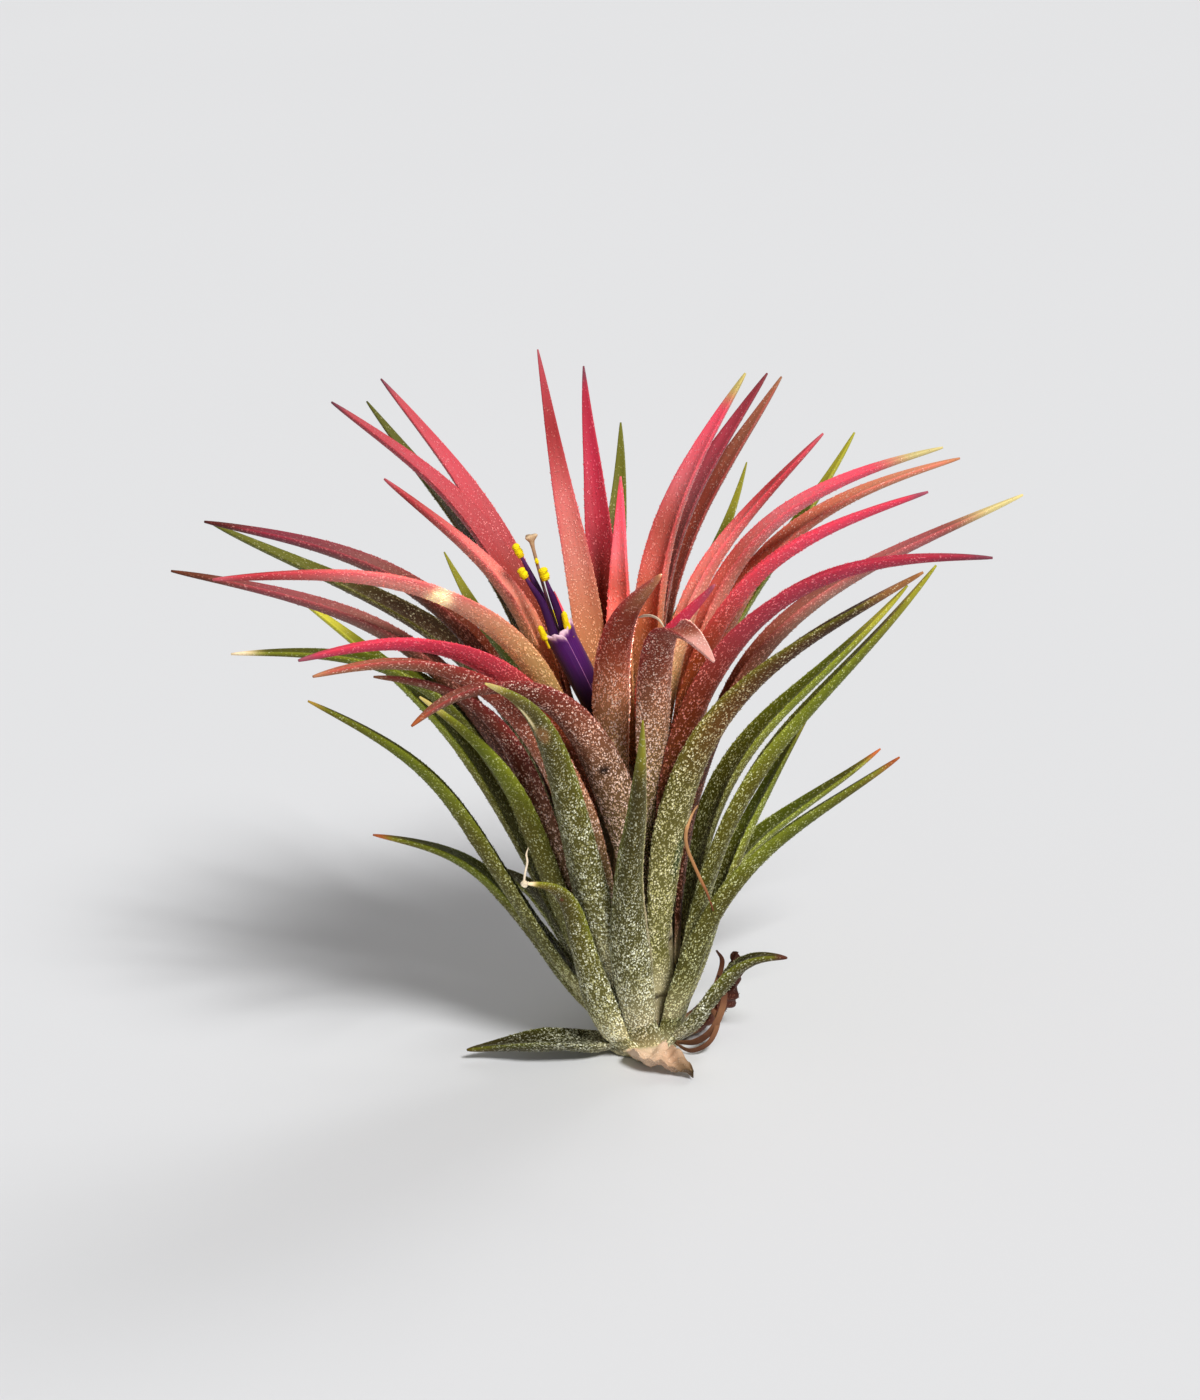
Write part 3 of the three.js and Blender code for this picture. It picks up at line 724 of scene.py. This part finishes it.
# %% The colour of a leaf's skin
def leaf_tint(name, leaf, s, turn, habit):
    """Colour and scale density of a leaf's skin, at s and turn.

    The palette is shifted a little along the leaf by the leaf's own habit. The channel is redder than
    the back on a blushing leaf, and darker with painted shade on a green one. The margins are redder on
    a blushing leaf and yellower on a green one. The tip, the marks and a painted rim highlight are mixed
    over.
    """
    s, turn = np.broadcast_arrays(s, turn)
    tone = leaf.tone
    colour = between(PALETTES[tone], s + HABIT_SHIFT * habit[3])
    channel = smooth(0.5 + 0.5 * np.sin(turn) * 2)
    margin = np.abs(np.cos(turn)) ** MARGIN_POWER
    for tones, channel_colour_and_shade, edge, share, start in EDGES:
        if tone in tones:
            # on green leaves this darkens the channel with painted shade
            colour = colour * blend(np.ones(3), channel_colour_and_shade, channel)
            colour = blend(colour, edge, share * margin * smooth((s - start) / 0.3))
    colour = blend(colour, BLEACHED, FADED.get(name, 0) * smooth((s - 0.2) / 0.5))
    colour = blend(colour, SHEATH_TINT, 0.9 * smooth(clasp(s) * 1.2))
    if leaf.foot_height < PALE_FOOT_BELOW:
        colour = blend(colour, SHEATH_TINT, 0.75 * (1 - smooth(s / 0.13)) * (clasp(s) == 0))
    style, reach = TIPS.get(TIP_OF.get(name), (PALETTES[tone][-1][1:], PLAIN_TIP))
    colour = blend(colour, style, smooth((s - 1 + 1.6 * reach) / reach))
    for mark, middle, sideways, length, width in MARKS.get(name, []):
        near = np.exp(-(((s - middle) / length) ** 2 + ((np.cos(turn) - sideways) / width) ** 2) * 2)
        colour = blend(colour, mark, smooth(near * 1.8))
    # painted highlight: a bright line along one margin of a few leaves, where light catches the edge; it
    # carries no painted scales
    rim = smooth((np.cos(turn) - 0.9) / 0.07) * smooth(s / 0.25) * RIM_HIGHLIGHTS_PER_LEAF.get(name, 0)
    colour = blend(colour, RIM_HIGHLIGHT_TINT, rim)
    _, at_foot, at_tip, _ = SCALES_OF[tone]
    silver = at_foot + (at_tip - at_foot) * np.clip(s, 0, 1) ** 0.8
    silver = (silver + 0.1 * (1 - channel) + 0.1 * margin) * (1 - 0.6 * clasp(s)) * (1 - rim)
    silver = silver * MORE_SILVER.get(name, 1)
    # the last factor is each leaf's own tone together with its painted light and shade
    bright = GAIN * (1 + HABIT_LIGHT * habit[4]) * LEAF_TONE_AND_PAINTED_LIGHT.get(name, 1)
    return linear(colour) * bright, np.clip(silver * (1 - smooth((s - 0.95) / 0.04)), 0, 1)


sample_tint, sample_silver = leaf_tint("crown_leaf_02", sample, 0.5, 1.5 * np.pi, np.zeros(6))
print("its keel's light:", sample_tint.round(2).tolist(), "and scales:", sample_silver.round(2))

# %% [markdown]
# ## Scales
# The silver on an air plant is thousands of tiny shields, each on a short stalk, that lift when they
# are dry. A particle system could scatter them, but the export drops particles, so each scale is a
# real closed shape of four faces: a blade sunk in the skin at its root and lifted towards the tip.

# %% Scatter scales over a leaf
SCALE_LENGTH, SCALE_WIDTH, SCALE_LIFT, SCALE_SKEW = 0.24, 0.11, 22, 16
ROOT_DEPTH, BELLY_AT, BELLY_DEPTH = 0.03, 0.4, 0.02
STRETCH = (0.02, 0.985)  # the part of a leaf that has scales
LENGTH_SPREAD, LIFT_SPREAD = (0.65, 1.3), (0.5, 1.6)  # how much one scale differs from the next
NUDGE = (0.004, 0.02)  # the steps in s and turn that measure the skin's tangents
SCALE_GLOW = 1.15  # a bare scale is this much brighter than the skin
SCALE_FACES = np.array([[0, 2, 1], [0, 1, 3], [0, 3, 2], [1, 2, 3]])


def scales(name, leaf, habit, count, rng):
    """`count` scales at random places, more where the leaf is broad and towards its foot.

    Places along it are drawn from the running sum of its width x (1.2 - s/2). At each, the skin's two
    tangents give the way up and out, and the four corners are left, right, lifted end and belly.
    """
    steps = np.linspace(*STRETCH, 200)
    share = leaf_width(leaf, steps) * (1.2 - 0.5 * steps)
    chance = np.cumsum(share) / share.sum()
    s = np.interp(rng.random(count), chance, steps)
    turn = rng.random(count) * 2 * np.pi
    here = leaf_point(leaf, s, turn, habit)
    along = unit(leaf_point(leaf, s + NUDGE[0], turn, habit) - here)
    around = unit(leaf_point(leaf, s, turn + NUDGE[1], habit) - here)
    out = unit(np.cross(around, along))
    side = np.cross(out, along)
    skew = np.radians(rng.normal(0, SCALE_SKEW, count))[:, None]
    along, side = along * np.cos(skew) + side * np.sin(skew), side * np.cos(skew) - along * np.sin(skew)
    small = np.clip(leaf_width(leaf, s) / 2.5, 0.45, 1)
    length = (SCALE_LENGTH * small * rng.uniform(*LENGTH_SPREAD, count))[:, None]
    lift = np.radians(SCALE_LIFT * rng.uniform(*LIFT_SPREAD, count))[:, None]
    half = SCALE_WIDTH / SCALE_LENGTH * length / 2
    root = here - out * ROOT_DEPTH
    corners = np.stack([root - side * half, root + side * half,
                        here + length * (along * np.cos(lift) + out * np.sin(lift)),
                        root + length * BELLY_AT * along - out * BELLY_DEPTH], 1)
    colour, silver = leaf_tint(name, leaf, s, turn, habit)
    pale = linear(SCALES_OF[leaf.tone][0]) * GAIN
    colour = blend(colour * SCALE_GLOW, pale, rng.uniform(0, 1, count) ** 1.5 * (0.02 + 0.8 * silver))
    faces = (np.arange(count)[:, None, None] * 4 + SCALE_FACES).reshape(-1, 3)
    return {"points": corners.reshape(-1, 3), "faces": [faces], "maps": [np.zeros((len(faces), 3, 2))],
            "tint": np.repeat(colour, 4, 0), "silver": np.zeros(4 * count), "smooth": False}


print("a scale:", SCALE_LENGTH, "x", SCALE_WIDTH, "mm, lifted by", SCALE_LIFT, "degrees")

# %% [markdown]
# ## The leaf finish
# Between the real scales the skin itself is granular: shields too small to model, in rough rows
# along the leaf. Voronoi cells on the leaf's own map draw them at their true size. A cell shows as a
# shield if its random colour is below the density there. A Gamma node deepens the skin between them,
# because light sinks in there, and long thin noise streaks it.

# %% Finish of the leaves
SHIELD_CELL, PATCH_CELL, STREAK_CELL = (0.2, 0.27), (1.6, 2.6), (0.3, 8)  # width and length in mm
DEEPEN = 1.4  # the power that the tint is raised to between the shields
WOBBLE = (1.4, 1.4, 0)  # how far noise warps the rows of shields, in cells
PATCH_EDGE = (0.38, 0.6)  # the noise below and above which a patch is bare and full


def leaf_finish(tone):
    """Dark skin under bright painted shields, for one tone.

    A warped cell holds a shield if its lot is below the density, which broad patches raise and
    lower. The denser the shields are, the wider they spread. A second lot, squared so that few are
    bright, says how silvery a shield is, and makes the brightest few painted glints.
    """
    pale, _, _, sparkle = SCALES_OF[tone]
    finish = Finish(f"leaf_{tone}", Sheen_Weight=0.1, Sheen_Roughness=0.35, Specular_IOR_Level=0.2)
    tint, density = finish.attribute("tint", 0), finish.attribute("silver", 2)
    flat = finish.on_map(*SHIELD_CELL)
    wobble = finish.noise(flat, 0.6, 1, output=1)
    cells = finish.node("VectorMath", {"operation": "MULTIPLY_ADD"},
                        {0: wobble, 1: WOBBLE, 2: flat})
    distance = finish.node("TexVoronoi", {}, {"Vector": cells, "Scale": 1})
    lots = Wire(finish, distance.socket.node.outputs["Color"])
    lot, gloss = (finish.node("SeparateColor", {}, {0: lots}, channel) for channel in (0, 1))
    patch = finish.ease(finish.noise(finish.on_map(*PATCH_CELL)), *PATCH_EDGE)
    thick = density * (0.7 + patch * 0.5)
    shield = (lot < thick * 0.8 + 0.22) * (1 - finish.ease(distance - thick * 0.08, 0.3, 0.5))
    streak = finish.noise(finish.on_map(*STREAK_CELL))
    deep = finish.node("Gamma", {}, {"Color": tint, "Gamma": DEEPEN})
    depth = 0.25 if tone in GREENS else 0.3 + 0.1 * sparkle
    under = finish.scaled(finish.mix(0.3, deep, tint), 1 - density * depth + streak * 0.35)
    # the scales' own silver, with painted glints on the few shields whose squared lot is high
    silvery = finish.mix((gloss * gloss * 0.8 + 0.08) * (0.1 + thick * 1.1) * sparkle,
                         finish.scaled(tint, 1.2 + thick * 1.15), (*linear(pale) * GAIN, 1))
    finish.feed("Base Color", finish.mix(shield, under, silvery))
    finish.feed("Roughness", 0.5 - shield * 0.16 + streak * 0.14)
    finish.bump(shield * 0.7 + streak * 0.3, 0.1)
    return finish.material


FINISHES = {tone: leaf_finish(tone) for tone in PALETTES}
print("finishes:", len(FINISHES))

# %% [markdown]
# ## The leaves
# Now every solid leaf is replaced by its fine one. The rings lie closer together near the tip, where
# the outline turns quickest. Each leaf draws its own habit from a seeded generator, so no two are
# alike and every run gives the same plant.

# %% Build the leaves
RINGS, SHEATH_RINGS, SIDES = 70, 10, 36
CROWDING = 1.12  # the power that draws the rings together near the tip
TABLE_GAP = 0.12  # nothing sinks into the table
SCALES_PER_MM, FULL_WIDTH = 56, 5  # scales for each millimetre of a leaf of full width
MAP_STEP = 97  # each leaf's map starts this much further along the patterns


def fine_leaf(name, leaf, seed):
    """A leaf's skin and its scales as parts, worked out on a grid of rings and sides."""
    rng = np.random.default_rng(seed)
    habit = rng.uniform(-1, 1, 6)
    s = np.concatenate([-SHEATH_SHARE * (1 - np.arange(SHEATH_RINGS) / SHEATH_RINGS),
                        1 - (1 - np.arange(RINGS) / RINGS) ** CROWDING])
    turn = circle(SIDES)
    points = leaf_point(leaf, s[:, None], turn[None], habit)
    points[..., 2] = np.maximum(points[..., 2], TABLE_GAP)
    tint, silver = leaf_tint(name, leaf, s[:, None], turn[None], habit)
    lengths = run(leaf_line(leaf, s)[0])
    count = int(lengths[-1] * SCALES_PER_MM * leaf.width / FULL_WIDTH)
    return [skin(points, tint, silver, lengths + MAP_STEP * seed),
            scales(name, leaf, habit, count, rng)]


tally = 0
for seed, (name, leaf) in enumerate(LEAVES.items()):
    piece = make_piece(name + "_skin", fine_leaf(name, leaf, seed), FINISHES[leaf.tone], [name])
    tally += sum(len(p.vertices) - 2 for p in piece.data.polygons)
print("leaves:", len(LEAVES), "with", tally, "triangles")

# %% [markdown]
# ## The bulb
# What looks like a bulb is the leaves' own feet, packed round a short stem. Only slits of it show
# between the lowest leaves, so it is one surface, whose radius carries a spiral of overlapping edges.

# %% Build the bulb
BULB_RINGS, BULB_SIDES = 70, 96
SHEATHS, SHEATH_STEP, SPIRAL = 8, 0.22, 0.12  # how many edges, how high, and their turn for each mm
SHEATH_PALE, SHEATH_DARK = (176, 168, 136), (120, 100, 70)
BULB_CLOSE = 0.999  # the last ring stops just short of the top, so that it still has a radius
z = BULB_TOP * np.sin(np.linspace(0, 1, BULB_RINGS) * np.pi / 2) * BULB_CLOSE
turn = circle(BULB_SIDES)
edge = (SHEATHS * turn[None] / (2 * np.pi) + SPIRAL * z[:, None]) % 1
radius = bulb_radius(z)[:, None] + SHEATH_STEP * (edge ** 3 - 0.5) * np.clip(z / 3, 0, 1)[:, None]
bulb_points = heading(np.degrees(turn))[None] * radius[..., None] + z[:, None, None] * UPWARDS
bulb_tint = blend(SHEATH_PALE, SHEATH_DARK, edge ** 6)
bulb_finish = FINISHES["straw"].copy()
bulb_finish.name = "bulb_sheaths"
make_piece("bulb_sheaths", [skin(bulb_points, linear(bulb_tint), 0.3, z)], bulb_finish, ["bulb"])
print("bulb: widest", round(2 * float(radius.max()), 2), "mm")

# %% [markdown]
# ## The flower's tube
# The tube is three petals rolled round each other, violet, with pale pointed tips that just flare.
# One turned profile would lose their edges, so each petal is its own thin closed sheet. One margin
# of each lies under its neighbour and the other over it, which a small change of radius does. Fine
# lengthwise veins are a grain that is drawn out along the petal.

# %% The shape of a petal
FLOWER_FOOT, FLOWER_BEND, FLOWER_MOUTH = np.array([[0.3, -0.5, 35.9], [-0.6, -0.9, 41], [-3.8, -1, 49.7]])
PETAL_SPAN, PETAL_SKIN, PETAL_LAP, PETAL_POINT = 76, 0.12, 0.12, 0.06
PETAL_RINGS, PETAL_SIDES, PETAL_MAP = 60, 48, 15  # the last is the length of its map in mm
DEEP_VIOLET, VIOLET_MOUTH, VIOLET_HEM, PALE_TIP = (30, 0, 44), (78, 14, 102), (186, 120, 180), (236, 198, 216)
TUBE_STOPS = [(0, 1.0), (0.3, 1.2), (0.6, 1.42), (0.85, 1.48), (0.96, 1.5), (1.06, 1.9)]


def flower_frame(t):
    """Points of the flower's bent axis and two directions across it. Past 1 it runs on straight."""
    t = t[..., None]
    inside = np.minimum(t, 1)
    end = 2 * (FLOWER_MOUTH - FLOWER_BEND)
    point = ((1 - inside) ** 2 * FLOWER_FOOT + 2 * (1 - inside) * inside * FLOWER_BEND
             + inside ** 2 * FLOWER_MOUTH + (t - inside) * end)
    along = unit((1 - inside) * (FLOWER_BEND - FLOWER_FOOT) + inside * (FLOWER_MOUTH - FLOWER_BEND))
    side = unit(np.cross([0, 1, 0], along))
    return point, side, np.cross(along, side)


def petal_skin(middle):
    """A sheet round the axis: angle = middle + span x cos(turn), radius = tube + lap x cos(turn)
    + half-thickness x sin(turn), and a length that is greatest in the middle of the petal."""
    rows = np.linspace(0, 1, PETAL_RINGS)[:, None]
    turn = circle(PETAL_SIDES)[None]
    sweep = np.cos(turn)
    ragged = 0.012 * np.sin(9 * sweep + middle) + 0.008 * np.sin(23 * sweep)
    t = rows * (1 + PETAL_POINT * (1 - np.abs(sweep) ** 1.5) + ragged * rows ** 8)
    point, side, back = flower_frame(t)
    angle = np.radians(middle + PETAL_SPAN * sweep + 0 * t)[..., None]
    radius = between(TUBE_STOPS, t) + (PETAL_LAP * sweep
                                       + PETAL_SKIN * np.sin(turn) * (1 - 0.6 * rows ** 4))[..., None]
    points = point + radius * (side * np.cos(angle) + back * np.sin(angle))
    violet = blend(DEEP_VIOLET, VIOLET_MOUTH, smooth((t - 0.45) / 0.5))
    violet = blend(violet, PALE_TIP, smooth((rows - 0.955) / 0.03))
    violet = blend(violet, VIOLET_HEM, smooth((np.abs(sweep) - 0.97) / 0.02) * smooth(t / 0.6))
    return skin(points, linear(violet), 0, rows[:, 0] * PETAL_MAP)


print("the tube's mouth is at", FLOWER_MOUTH.tolist(), "mm")

# %% Build the petals
def grained_finish(name, width, length, roughness, depth, contrast=0.5, specular=0.35, sheen=0):
    """The piece's own colour under a fine grain, which shades it by 1 + contrast x (grain - 1/2)."""
    finish = Finish(name, Specular_IOR_Level=specular, Sheen_Weight=sheen)
    grain = finish.noise(finish.on_map(width, length))
    shade = 1 - contrast / 2 + grain * contrast
    finish.feed("Base Color", finish.scaled(finish.attribute("tint", 0), shade))
    finish.feed("Roughness", roughness + grain * 0.2)
    finish.bump(grain, depth)
    return finish.material


petals = grained_finish("petals", 0.18, 5, 0.35, 0.05, contrast=0.6, specular=0.4, sheen=0.15)
for number, middle in enumerate((95, 215, 335), 1):
    make_piece(f"petal_{number}", [petal_skin(middle)], petals, ["corolla"])
print("petals: 3, tube", TUBE_STOPS[0][1] * 2, "to", TUBE_STOPS[-1][1] * 2, "mm across")

# %% [markdown]
# ## Threads
# Filaments, sacs of pollen and dry fibres are all skins along a smooth curve through a few points,
# with a radius that changes on the way. A curve object with a bevel would give a plain tube, but here
# the section can also be squeezed flat, raised in grains by crossed sines, or folded into lobes.

# %% Threads along a curve
LOBE_DEPTH = 0.45  # how deep an end folds into lobes, as a share of its radius


def through(points, t):
    """A smooth curve through the points (Catmull-Rom), for t from 0 to 1."""
    points = np.array(points, float)
    points = np.concatenate([[2 * points[0] - points[1]], points, [2 * points[-1] - points[-2]]])
    place = t * (len(points) - 3)
    step = np.minimum(place.astype(int), len(points) - 4)
    x = (place - step)[..., None]
    a, b, c, d = (points[step + k] for k in range(4))
    return 0.5 * (2 * b + (c - a) * x + (2 * a - 5 * b + 4 * c - d) * x ** 2
                  + (3 * b - a - 3 * c + d) * x ** 3)


def thread(points, radii, tint, rings=48, sides=24, flat=(1, 1), grain=0, lobes=None, span=(0, 1)):
    """A skin along the curve. `radii` and `tint` are (place, value...) stops. `flat` squeezes the
    section at both ends, `grain` raises bumps on it, `lobes` is where its end starts to fold into
    three, and `span` takes a part of the curve alone."""
    at = np.linspace(0, 1, rings)
    t = span[0] + (span[1] - span[0]) * at
    line = through(points, t)
    along = unit(np.gradient(line, axis=0))
    side = unit(np.cross([0, 1, 0.2], along))
    back = np.cross(along, side)
    turn = circle(sides)
    radius = between(radii, at)
    bumps = np.sin(31 * at[:, None] + 3 * turn) * np.sin(5 * turn + 17 * at[:, None])
    radius = radius * (1 + grain * bumps)
    if lobes:
        radius = radius * (1 + LOBE_DEPTH * smooth((at[:, None] - lobes) / (1 - lobes)) * np.cos(3 * turn))
    squeeze = between([(0, flat[0]), (1, flat[1])], at)
    points = (line[:, None] + side[:, None] * (radius * np.cos(turn))[..., None]
              + back[:, None] * (radius * squeeze * np.sin(turn))[..., None])
    return skin(points, linear(between(tint, at))[:, None], 0, run(line))


filaments = grained_finish("filaments", 0.2, 0.6, 0.4, 0.04)
pollen = grained_finish("pollen", 0.12, 0.36, 0.8, 0.1)
dry_stuff = grained_finish("dry_fibres", 0.15, 0.45, 0.75, 0.08)
print("thread finishes:", filaments.name, pollen.name, dry_stuff.name)

# %% [markdown]
# ## Stamens and pistil
# The long stamens are violet threads, broad and flat where they leave the tube. Each carries a sac of
# yellow pollen, whose own surface is raised in grains.

# %% Build the stamens
VIOLET = [(0, 50, 6, 66), (0.6, 58, 10, 76), (1, 96, 44, 98)]
POLLEN = [(0, 236, 196, 10), (0.5, 255, 232, 0), (1, 252, 222, 20)]
STAMENS = [  # the route from the tube to the end of the sac, and the sac's radius
    ([(-4.4, -1.7, 49.6), (-5.2, -1.7, 53.4), (-6.4, -2.1, 56.2), (-7.2, -2.2, 58)], 0.46),
    ([(-4.4, -0.3, 49.8), (-5.3, 0.2, 53.8), (-6.6, 0.6, 57.6), (-7.5, 0.6, 60)], 0.44),
    ([(-3.2, -1.3, 49.9), (-3.9, -1.6, 53.4), (-4.4, -1.9, 55.6), (-4.8, -2, 57.7)], 0.52),
]
for number, (route, plump) in enumerate(STAMENS, 1):
    filament = thread(route, [(0, 0.5), (0.5, 0.38), (1, 0.12)], VIOLET, flat=(0.45, 0.9), span=(0, 0.84))
    sac = thread(route, [(0, 0.05), (0.1, 0.8 * plump), (0.35, plump), (0.55, 0.85 * plump),
                         (0.8, plump), (0.93, 0.7 * plump), (1, 0.1)], POLLEN,
                 rings=44, sides=32, grain=0.2, span=(0.75, 1))
    make_piece(f"stamen_{number}_filament", [filament], filaments, [f"stamen_{number}"])
    make_piece(f"stamen_{number}_pollen", [sac], pollen, [f"stamen_{number}"])
print("stamens:", len(STAMENS))

# %% [markdown]
# Three more stamens are short and only show their sacs at the mouth. The pistil rises past them all.
# A little stray pollen often clings to its style, so it gets some.

# %% Build the short stamens and the pistil
SHORT_STAMENS = [  # foot and head, on the inside of the tube's mouth
    [(-5.1, -2.1, 48.6), (-5.5, -2.3, 50), (-5.9, -2.5, 51.4)],
    [(-2.4, -1.8, 49.4), (-2.9, -2, 50.8), (-3.1, -2.1, 52.6)],
    [(-3.6, 0.6, 49), (-4, 0.8, 50.6), (-4.3, 0.9, 52)],
]
for number, route in enumerate(SHORT_STAMENS, 1):
    sac = thread(route, [(0, 0.12), (0.35, 0.16), (0.42, 0.34), (0.7, 0.36), (0.92, 0.26), (1, 0.05)],
                 POLLEN, rings=40, sides=24, grain=0.22)
    make_piece(f"short_stamen_{number}", [sac], pollen, ["corolla"])

PISTIL_ROUTE = [(-3.8, -0.9, 49.2), (-4.9, -0.6, 55), (-5.7, -0.3, 61)]
STYLE_TINT = [(0, 96, 62, 88), (0.5, 108, 74, 82), (0.8, 168, 132, 104), (0.94, 186, 150, 112),
              (1, 206, 176, 140)]
style = thread(PISTIL_ROUTE, [(0, 0.2), (0.6, 0.17), (0.88, 0.2), (0.94, 0.3), (0.985, 0.62), (1, 0.5)],
               STYLE_TINT, rings=90, sides=36, lobes=0.9)
make_piece("pistil_style", [style], filaments, ["pistil"])
stray = thread([(-5.2, -0.7, 57.7), (-5.3, -0.72, 58.1), (-5.35, -0.7, 58.5)],
               [(0, 0.04), (0.3, 0.2), (0.7, 0.22), (1, 0.04)], POLLEN, rings=14, sides=12, grain=0.2)
make_piece("stray_pollen", [stray], pollen)
print("short stamens:", len(SHORT_STAMENS), "and one pistil")

# %% [markdown]
# ## Dry remains
# An old plant keeps what it sheds: fibres torn from withered leaves cling to the living ones, and
# brown strips curl round the foot. They are threads again, and a strong squeeze turns a round
# section into a strip. Each starts on a leaf or on the bulb, so nothing hangs in the air.

# %% Add the dry remains
PALE_FIBRE = [(0, 236, 222, 200), (1, 226, 206, 178)]
TAN_FIBRE = [(0, 196, 150, 104), (0.7, 178, 124, 78), (1, 104, 50, 30)]
BROWN_STRIP = [(0, 120, 84, 56), (0.3, 92, 54, 34), (0.6, 134, 92, 62), (0.8, 84, 44, 28), (1, 60, 34, 22)]
REMAINS = {  # name: (route, radius, squeeze, tint)
    "white_thread": ([(4.8, -12, 53.8), (5.4, -14, 54.5), (6.1, -16.5, 55.1), (6.7, -18.8, 55.3),
                      (7.1, -20.6, 55)], 0.15, 1, PALE_FIBRE),
    "tan_fibre": ([(8.9, -2.5, 28.6), (8.4, -5.6, 29.2), (7.5, -8.1, 28.6), (7.1, -8.1, 27.2),
                   (7.2, -7.5, 25.4), (7.7, -7, 23.4), (8.3, -6.7, 21.3), (8.8, -7.5, 20),
                   (9.2, -8.1, 18.2)], 0.22, 0.6, TAN_FIBRE),
    "tip_thread": ([(-10.2, -16.8, 27.6), (-10.7, -16.9, 27.5), (-10.5, -16.9, 28.6),
                    (-10.1, -16.7, 29.8), (-10.1, -16.5, 30.6), (-9.8, -16.4, 31.3)],
                   0.13, 0.7, PALE_FIBRE),
    "long_strip": ([(3.1, -3.2, 1.3), (5.2, -3.5, 2.4), (7.3, -3, 4.3), (8.7, -2.5, 7),
                    (9.7, -2.5, 9.7), (9.2, -2.5, 11.2)], 0.36, 0.25, BROWN_STRIP),
    "curled_strip": ([(3.5, -3.5, 1.1), (5.6, -4.5, 1.3), (7.6, -4.8, 2.6), (9, -4.5, 4.8),
                      (9.5, -4, 6.9), (9, -4, 8.8)], 0.45, 0.22, BROWN_STRIP),
    "low_strip": ([(3.3, -3.2, 0.9), (5, -5.2, 0.6), (7.2, -5.6, 1.6), (8.4, -4.4, 3.6),
                   (7.2, -3.6, 5.2), (5.8, -3.8, 4.6)], 0.34, 0.3, BROWN_STRIP),
}
for name, (route, radius, squeeze, tint) in REMAINS.items():
    strip = thread(route, [(0, 0.5 * radius), (0.2, radius), (0.8, 0.8 * radius), (1, 0.3 * radius)], tint,
                   rings=80, sides=16, flat=(squeeze, squeeze))
    make_piece(name, [strip], dry_stuff)
knob = thread([(-10.95, -16.9, 27.2), (-10.7, -16.95, 27.5), (-10.45, -16.9, 27.8)],
              [(0, 0.05), (0.25, 0.4), (0.75, 0.38), (1, 0.05)], PALE_FIBRE, rings=20, sides=20, grain=0.1)
make_piece("tip_knob", [knob], dry_stuff)
print("dry remains:", len(REMAINS) + 1)

# %% [markdown]
# The dressed plant may not outgrow the solid one.
